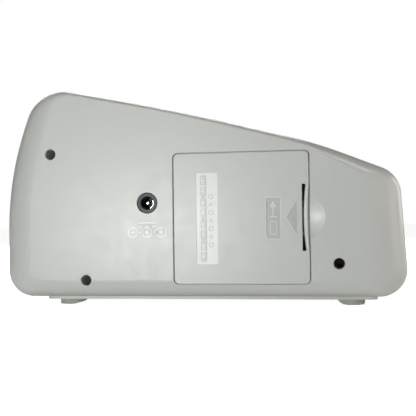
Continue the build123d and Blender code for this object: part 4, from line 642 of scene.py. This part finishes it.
def arrow_marks(finishes):
    """Sunk arrow beside the latch: textured floor darkened as painted shade, rims on its long sides paler
    as a painted highlight, and fine ribs.
    """
    tip_x, tip_z = ARROW_TIP
    back = BACK_FACE / MM
    floor = back - ARROW_RECESS
    half = ARROW_WIDTH / 2
    foot_x = tip_x - ARROW_LENGTH
    field = [triangle((tip_x - 0.5, tip_z), (foot_x + 0.15, tip_z + half - 1.2),
                      (foot_x + 0.15, tip_z - half + 1.2))]
    door_mark("door_arrow_shaded_field", field, floor, 0.04, finishes["shaded_field_plastic"], edge=0.02)
    slant = math.hypot(ARROW_LENGTH, half)
    lean = math.atan2(half, -ARROW_LENGTH)
    rims, hatch = [], []
    for side in (1, -1):
        rims.append(bar(tip_x - ARROW_LENGTH / 2 + 0.3, tip_z + side * (half / 2 + 0.18),
                        slant + 0.6, 0.45, side * lean))
    for index in range(HATCH_RIBS):
        x = foot_x + 0.45 + index * HATCH_STEP
        reach = (tip_x - x) / ARROW_LENGTH * half - HATCH_MARGIN
        hatch.append(bar(x, tip_z, 0.16, 2 * reach))
    door_mark("door_arrow_rims", rims, back, 0.16, finishes["highlit_relief_plastic"])
    door_mark("door_arrow_hatch", hatch, floor, 0.14, finishes["casing_plastic"], edge=0.03)


TONGUE_STEPS = 24


def latch_edge(finishes):
    """Glossy pale strip on the outer face of the sprung latch tongue, bowed like it: its paleness is a
    painted highlight where the tongue's edge catches the light.
    """
    back, edge_x = BACK_FACE / MM, DOOR_LOW.x / MM
    half = TONGUE_LENGTH / 2
    outer, inner = [], []
    for step in range(TONGUE_STEPS + 1):
        share = step / (TONGUE_STEPS / 2) - 1
        bulge = 1 - share ** 2
        z = DOOR_MIDDLE_Z + share * half
        outer.append((edge_x + 0.45 + TONGUE_RELIEF * bulge, z))
        inner.append((edge_x + TONGUE_WIDTH - 0.35 + TONGUE_BOW * bulge, z))
    door_mark("latch_tongue_painted_highlight", [[outer + inner[::-1]]], back, 0.12, finishes["highlit_relief_plastic"],
              edge=0.1)


# ---------------------------------------------------------------- display
# Seven segments of a digit by their middles, upright or flat, on a cell one wide and two high.
SEGMENTS = {
    "top": (0.0, 1.0, False), "middle": (0.0, 0.0, False), "bottom": (0.0, -1.0, False),
    "upper_left": (-0.5, 0.5, True), "upper_right": (0.5, 0.5, True),
    "lower_left": (-0.5, -0.5, True), "lower_right": (0.5, -0.5, True),
}
LIT = {
    "0": "top bottom upper_left upper_right lower_left lower_right",
    "1": "upper_right lower_right",
    "2": "top middle bottom upper_right lower_left",
    "8": "top middle bottom upper_left upper_right lower_left lower_right",
}
SHOWN = "1208"
DIGIT_PLACES = (-15.0, -7.0, 3.0, 11.0)     # from the middle of the glass, in mm
DIGIT_HIGH = 8.6
DAY_BARS = 7
INK_ROOT = 0.02             # how far printed ink reaches into its face, in mm


def digit(x, z, high, figure):
    """Outlines of one lit seven-segment figure, seen from the front, where X runs to the right."""
    wide, thick = high * 0.5, high * 0.09
    shapes = []
    for name in LIT[figure].split():
        across, up, upright = SEGMENTS[name]
        cx, cz = x + across * wide, z + up * high / 2
        half = (high / 2 if upright else wide) / 2 - thick * 0.35
        tip = thick / 2
        if upright:
            outline = [(cx, cz - half), (cx + tip, cz - half + tip), (cx + tip, cz + half - tip),
                       (cx, cz + half), (cx - tip, cz + half - tip), (cx - tip, cz - half + tip)]
        else:
            outline = [(cx - half, cz), (cx - half + tip, cz - tip), (cx + half - tip, cz - tip),
                       (cx + half, cz), (cx + half - tip, cz + tip), (cx - half + tip, cz + tip)]
        shapes.append([outline])
    return shapes


def display_marks(finishes):
    """Lit segments of the time, a colon and the row of small signs on the display glass."""
    low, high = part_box("lcd_glass")
    front = low.y / MM
    x, z = (low.x + high.x) / 2 / MM, (low.z + high.z) / 2 / MM
    ink = []
    for place, figure in zip(DIGIT_PLACES, SHOWN):
        ink += digit(x + place, z - 0.6, DIGIT_HIGH, figure)
    ink += [bar(x - 2.0, z + 1.2, 1.0, 1.0), bar(x - 2.0, z - 2.4, 1.0, 1.0)]
    for day in range(DAY_BARS):
        ink.append(bar(x - 15.0 + day * 5.0, z + 6.1, 2.6, 0.5))
    ink.append(frame_outline(x + 17.6, z - 3.6, 2.4, 1.5, 0.35))
    ink.append(ring(x + 17.6, z + 0.6, 1.1, 0.35))
    marks("display_segments", ink, front + INK_ROOT, front - 0.03, "casing",
          finishes["display_ink"], edge=0.008)


WINDOW_MARGIN = 1.8         # bare edge of the window outside the printed border, in mm


def window_mask(finishes):
    """Printed dark border behind the display window, with a thin pale line round its opening."""
    low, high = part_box("display_window")
    y = high.y / MM
    x, z = (low.x + high.x) / 2 / MM, (low.z + high.z) / 2 / MM
    wide = (high.x - low.x) / MM - 2 * WINDOW_MARGIN
    tall = (high.z - low.z) / MM - 2 * WINDOW_MARGIN
    middle = z + 0.4
    border = [rounded_bar(x, z, wide, tall, 1.2) + rounded_bar(x, middle, wide - 8.6, tall - 7.4, 0.8)]
    marks("window_border", border, y + 0.1, y + 0.03, "casing", finishes["mask_ink"],
          edge=0.01)
    line = [rounded_bar(x, middle, wide - 7.4, tall - 6.2, 1.0)
            + rounded_bar(x, middle, wide - 7.9, tall - 6.7, 0.9)]
    marks("window_border_line", line, y + 0.05, y + 0.01, "casing", finishes["mark_paint"],
          edge=0.006)


def key_marks(finishes):
    """A printed sign on each key: a clock face, a dot in a ring, down and up."""
    for key in ("mode_key", "set_key", "down_key", "up_key"):
        low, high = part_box(key)
        x, z, front = (low.x + high.x) / 2 / MM, (low.z + high.z) / 2 / MM, low.y / MM
        if key == "mode_key":
            shapes = [ring(x, z, 1.6, 0.35), bar(x, z + 0.5, 0.3, 1.3), bar(x + 0.4, z, 1.0, 0.3)]
        elif key == "set_key":
            shapes = [ring(x, z, 1.6, 0.35), [circle(x, z, 0.6, 16)]]
        else:
            up = 1 if key == "up_key" else -1
            shapes = [triangle((x - 1.7, z - up * 1.0), (x + 1.7, z - up * 1.0), (x, z + up * 1.6))]
        marks(key + "_sign", shapes, front + INK_ROOT, front - 0.05, key,
              finishes["mark_paint"], edge=0.01)


# Card arrow on the front, as heights above the table in mm.
CARD_ARROW_TIP = 81.6
CARD_ARROW_TOP = 84.6
CARD_ARROW_BAR = 87.0
KNOB_ARROW_RADIUS = 6.9
LID_PANEL_LEFT = 14.0       # from the middle of the lid to the middle of its panel


def front_marks(finishes):
    """Card arrow above the ribbon door, turning arrow round the knob and raised panel of the cassette."""
    door_low, door_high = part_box("ribbon_door")
    x, front = (door_low.x + door_high.x) / 2 / MM, door_low.y / MM
    arrow = [triangle((x - 2.6, CARD_ARROW_TOP), (x + 2.6, CARD_ARROW_TOP), (x, CARD_ARROW_TIP)),
             bar(x, CARD_ARROW_BAR, 9.0, 0.7)]
    marks("card_arrow", arrow, front + ROOT, front - 0.12, "casing",
          finishes["mark_paint"])
    lid_low, lid_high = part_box("cassette_lid")
    knob_low, knob_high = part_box("ribbon_knob")
    kx, kz = (knob_low.x + knob_high.x) / 2 / MM, (knob_low.z + knob_high.z) / 2 / MM
    lid = lid_low.y / MM
    turn = [bow(kx, kz, KNOB_ARROW_RADIUS, 0.7, 100, 250),
            triangle((kx + 1.0, kz + 6.55), (kx - 1.6, kz + 5.2), (kx - 1.6, kz + 7.2))]
    marks("knob_turn_arrow", turn, lid + ROOT, lid - 0.15, "casing",
          finishes["mark_paint"])
    panel_x = (lid_low.x + lid_high.x) / 2 / MM - LID_PANEL_LEFT
    panel_z = (lid_low.z + lid_high.z) / 2 / MM
    rim = [rounded_bar(panel_x, panel_z, 34.0, 9.0, 1.0) + rounded_bar(panel_x, panel_z, 33.0, 8.0, 0.8)]
    marks("cassette_lid_panel", rim, lid + ROOT, lid - 0.2, "casing",
          finishes["mechanism_plastic"])


BAY_SIGN_INSET = 8.0        # from a cell's end, in mm
BAY_FLOOR_GAP = 0.5         # between a cell and the floor behind it


def bay_marks(finishes):
    """Polarity signs moulded in the floor of the battery compartment, one beside each end of each cell."""
    for index in range(4):
        low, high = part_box(f"battery_{index + 1}")
        z = (low.z + high.z) / 2 / MM
        floor = low.y / MM - BAY_FLOOR_GAP
        tip_left = index % 2 == 1
        shapes = []
        for left_end, x in ((True, low.x / MM + BAY_SIGN_INSET), (False, high.x / MM - BAY_SIGN_INSET)):
            shapes.append(plus(x, z, 3.0, 0.6) if left_end == tip_left else bar(x, z, 3.0, 0.6))
        marks(f"bay_polarity_{index + 1}", shapes, floor - ROOT, floor + 0.2, "casing",
              finishes["casing_plastic"])


# ---------------------------------------------------------------- camera, light and floor
# Camera in mm, low behind the case and a little to its side, with a slight roll like the photograph's.
CAMERA_PLACE = Vector((-70.56, 409.85, 40.55)) * MM
CAMERA_AIM = Vector((-6.27, 37.0, 46.97)) * MM
CAMERA_ROLL = math.radians(-0.768)
CAMERA_LENS = 69.23


def make_camera():
    """Camera of the reference view."""
    data = bpy.data.cameras.new("camera")
    data.lens = CAMERA_LENS
    data.clip_start = 0.01
    camera = bpy.data.objects.new("camera", data)
    look = (CAMERA_AIM - CAMERA_PLACE).to_track_quat("-Z", "Y").to_matrix().to_4x4()
    camera.matrix_world = Matrix.Translation(CAMERA_PLACE) @ look @ Matrix.Rotation(CAMERA_ROLL, 4, "Z")
    bpy.context.scene.collection.objects.link(camera)
    bpy.context.scene.camera = camera


def softbox(name, place, aim, size, power, colour):
    """Rectangular area light, place and aim in metres, size as width and height."""
    data = bpy.data.lights.new(name, "AREA")
    data.shape = "RECTANGLE"
    data.size, data.size_y = size
    data.energy = power
    data.color = colour
    light = bpy.data.objects.new(name, data)
    turn = (Vector(aim) - Vector(place)).to_track_quat("-Z", "Y").to_matrix().to_4x4()
    light.matrix_world = Matrix.Translation(place) @ turn
    light.visible_camera = False
    bpy.context.scene.collection.objects.link(light)


# The floor glows like lit paper, more strongly from FLOOR_NEAR out to FLOOR_FAR, and the camera
# sees it whiter still.
FLOOR_HALF = 6.0
FLOOR_GLOW = 0.12
FLOOR_GLOW_FAR = 0.2
FLOOR_NEAR, FLOOR_FAR = 0.15, 0.45
FLOOR_SEEN = 0.75
WHITE = (1.0, 1.0, 1.0, 1.0)
LIGHT_AIM = (0.0, 0.0, 0.05)
# Name, place and size in metres, power in watts and colour.
LIGHTS = [
    ("near_card", (0.13, 0.44, 0.035), (0.14, 0.06), 0.54, (0.97, 1.0, 0.98)),
    ("near_card_low", (0.09, 0.40, 0.03), (0.10, 0.05), 0.17, (0.94, 1.0, 0.97)),
    ("near_card_high", (0.14, 0.47, 0.12), (0.16, 0.12), 0.05, (0.98, 1.0, 1.0)),
    ("right_side", (-0.9, 0.08, 0.2), (0.4, 0.5), 1.8, (1.0, 0.88, 0.82)),
    ("top_back", (0.0, 0.3, 0.8), (1.0, 0.5), 0.25, (1.0, 1.0, 1.0)),
    ("top_streak", (-0.3, 0.25, 0.72), (0.6, 0.04), 1.6, (1.0, 1.0, 1.0)),
    ("front_soft", (0.35, -0.9, 0.5), (0.9, 0.6), 5.5, (1.0, 1.0, 1.0)),
    ("front_side", (-0.7, -0.5, 0.25), (0.3, 0.4), 1.6, (1.0, 0.99, 0.97)),
]


def make_light():
    """White surround that only the camera sees, and the softboxes."""
    world = bpy.data.worlds.new("studio")
    bpy.context.scene.world = world
    world.use_nodes = True
    tree = world.node_tree
    backdrop = tree.nodes["Background"]
    backdrop.inputs["Color"].default_value = WHITE
    seen = tree.nodes.new("ShaderNodeLightPath")
    tree.links.new(seen.outputs["Is Camera Ray"], backdrop.inputs["Strength"])
    for name, place, size, power, colour in LIGHTS:
        softbox(name, place, LIGHT_AIM, size, power, colour)


def make_floor():
    """Flat white floor, far wider than the view, that glows faintly and brightens away from the case."""
    build = bmesh.new()
    bmesh.ops.create_grid(build, x_segments=8, y_segments=8, size=FLOOR_HALF)
    mesh = bpy.data.meshes.new("floor")
    build.to_mesh(mesh)
    build.free()
    floor = bpy.data.objects.new("floor", mesh)
    floor.location.z = cad_low.z
    bpy.context.scene.collection.objects.link(floor)
    g = Graph("floor_paper", (0.9, 0.9, 0.9), 0.9, Specular_IOR_Level=0.1)
    away = g.add("VectorMath", Vector=g.place)
    away.operation = "LENGTH"
    g.set("Emission Color", WHITE)
    glow = g.level(away.outputs["Value"], FLOOR_NEAR, FLOOR_FAR, FLOOR_GLOW, FLOOR_GLOW_FAR)
    seen = g.math("MULTIPLY", g.add("LightPath").outputs["Is Camera Ray"], FLOOR_SEEN)
    g.set("Emission Strength", g.math("ADD", glow, seen))
    g.bump(g.noise(2 * MM), 0.02 * MM)
    mesh.materials.append(g.material)


bpy.context.scene.view_settings.view_transform = "Standard"
make_camera()
make_light()
make_floor()
finishes = dress_nodes()
socket_marks(finishes["highlit_label_plastic"])
label_marks(finishes)
note_marks(finishes)
arrow_marks(finishes)
latch_edge(finishes)
display_marks(finishes)
window_mask(finishes)
key_marks(finishes)
front_marks(finishes)
bay_marks(finishes)
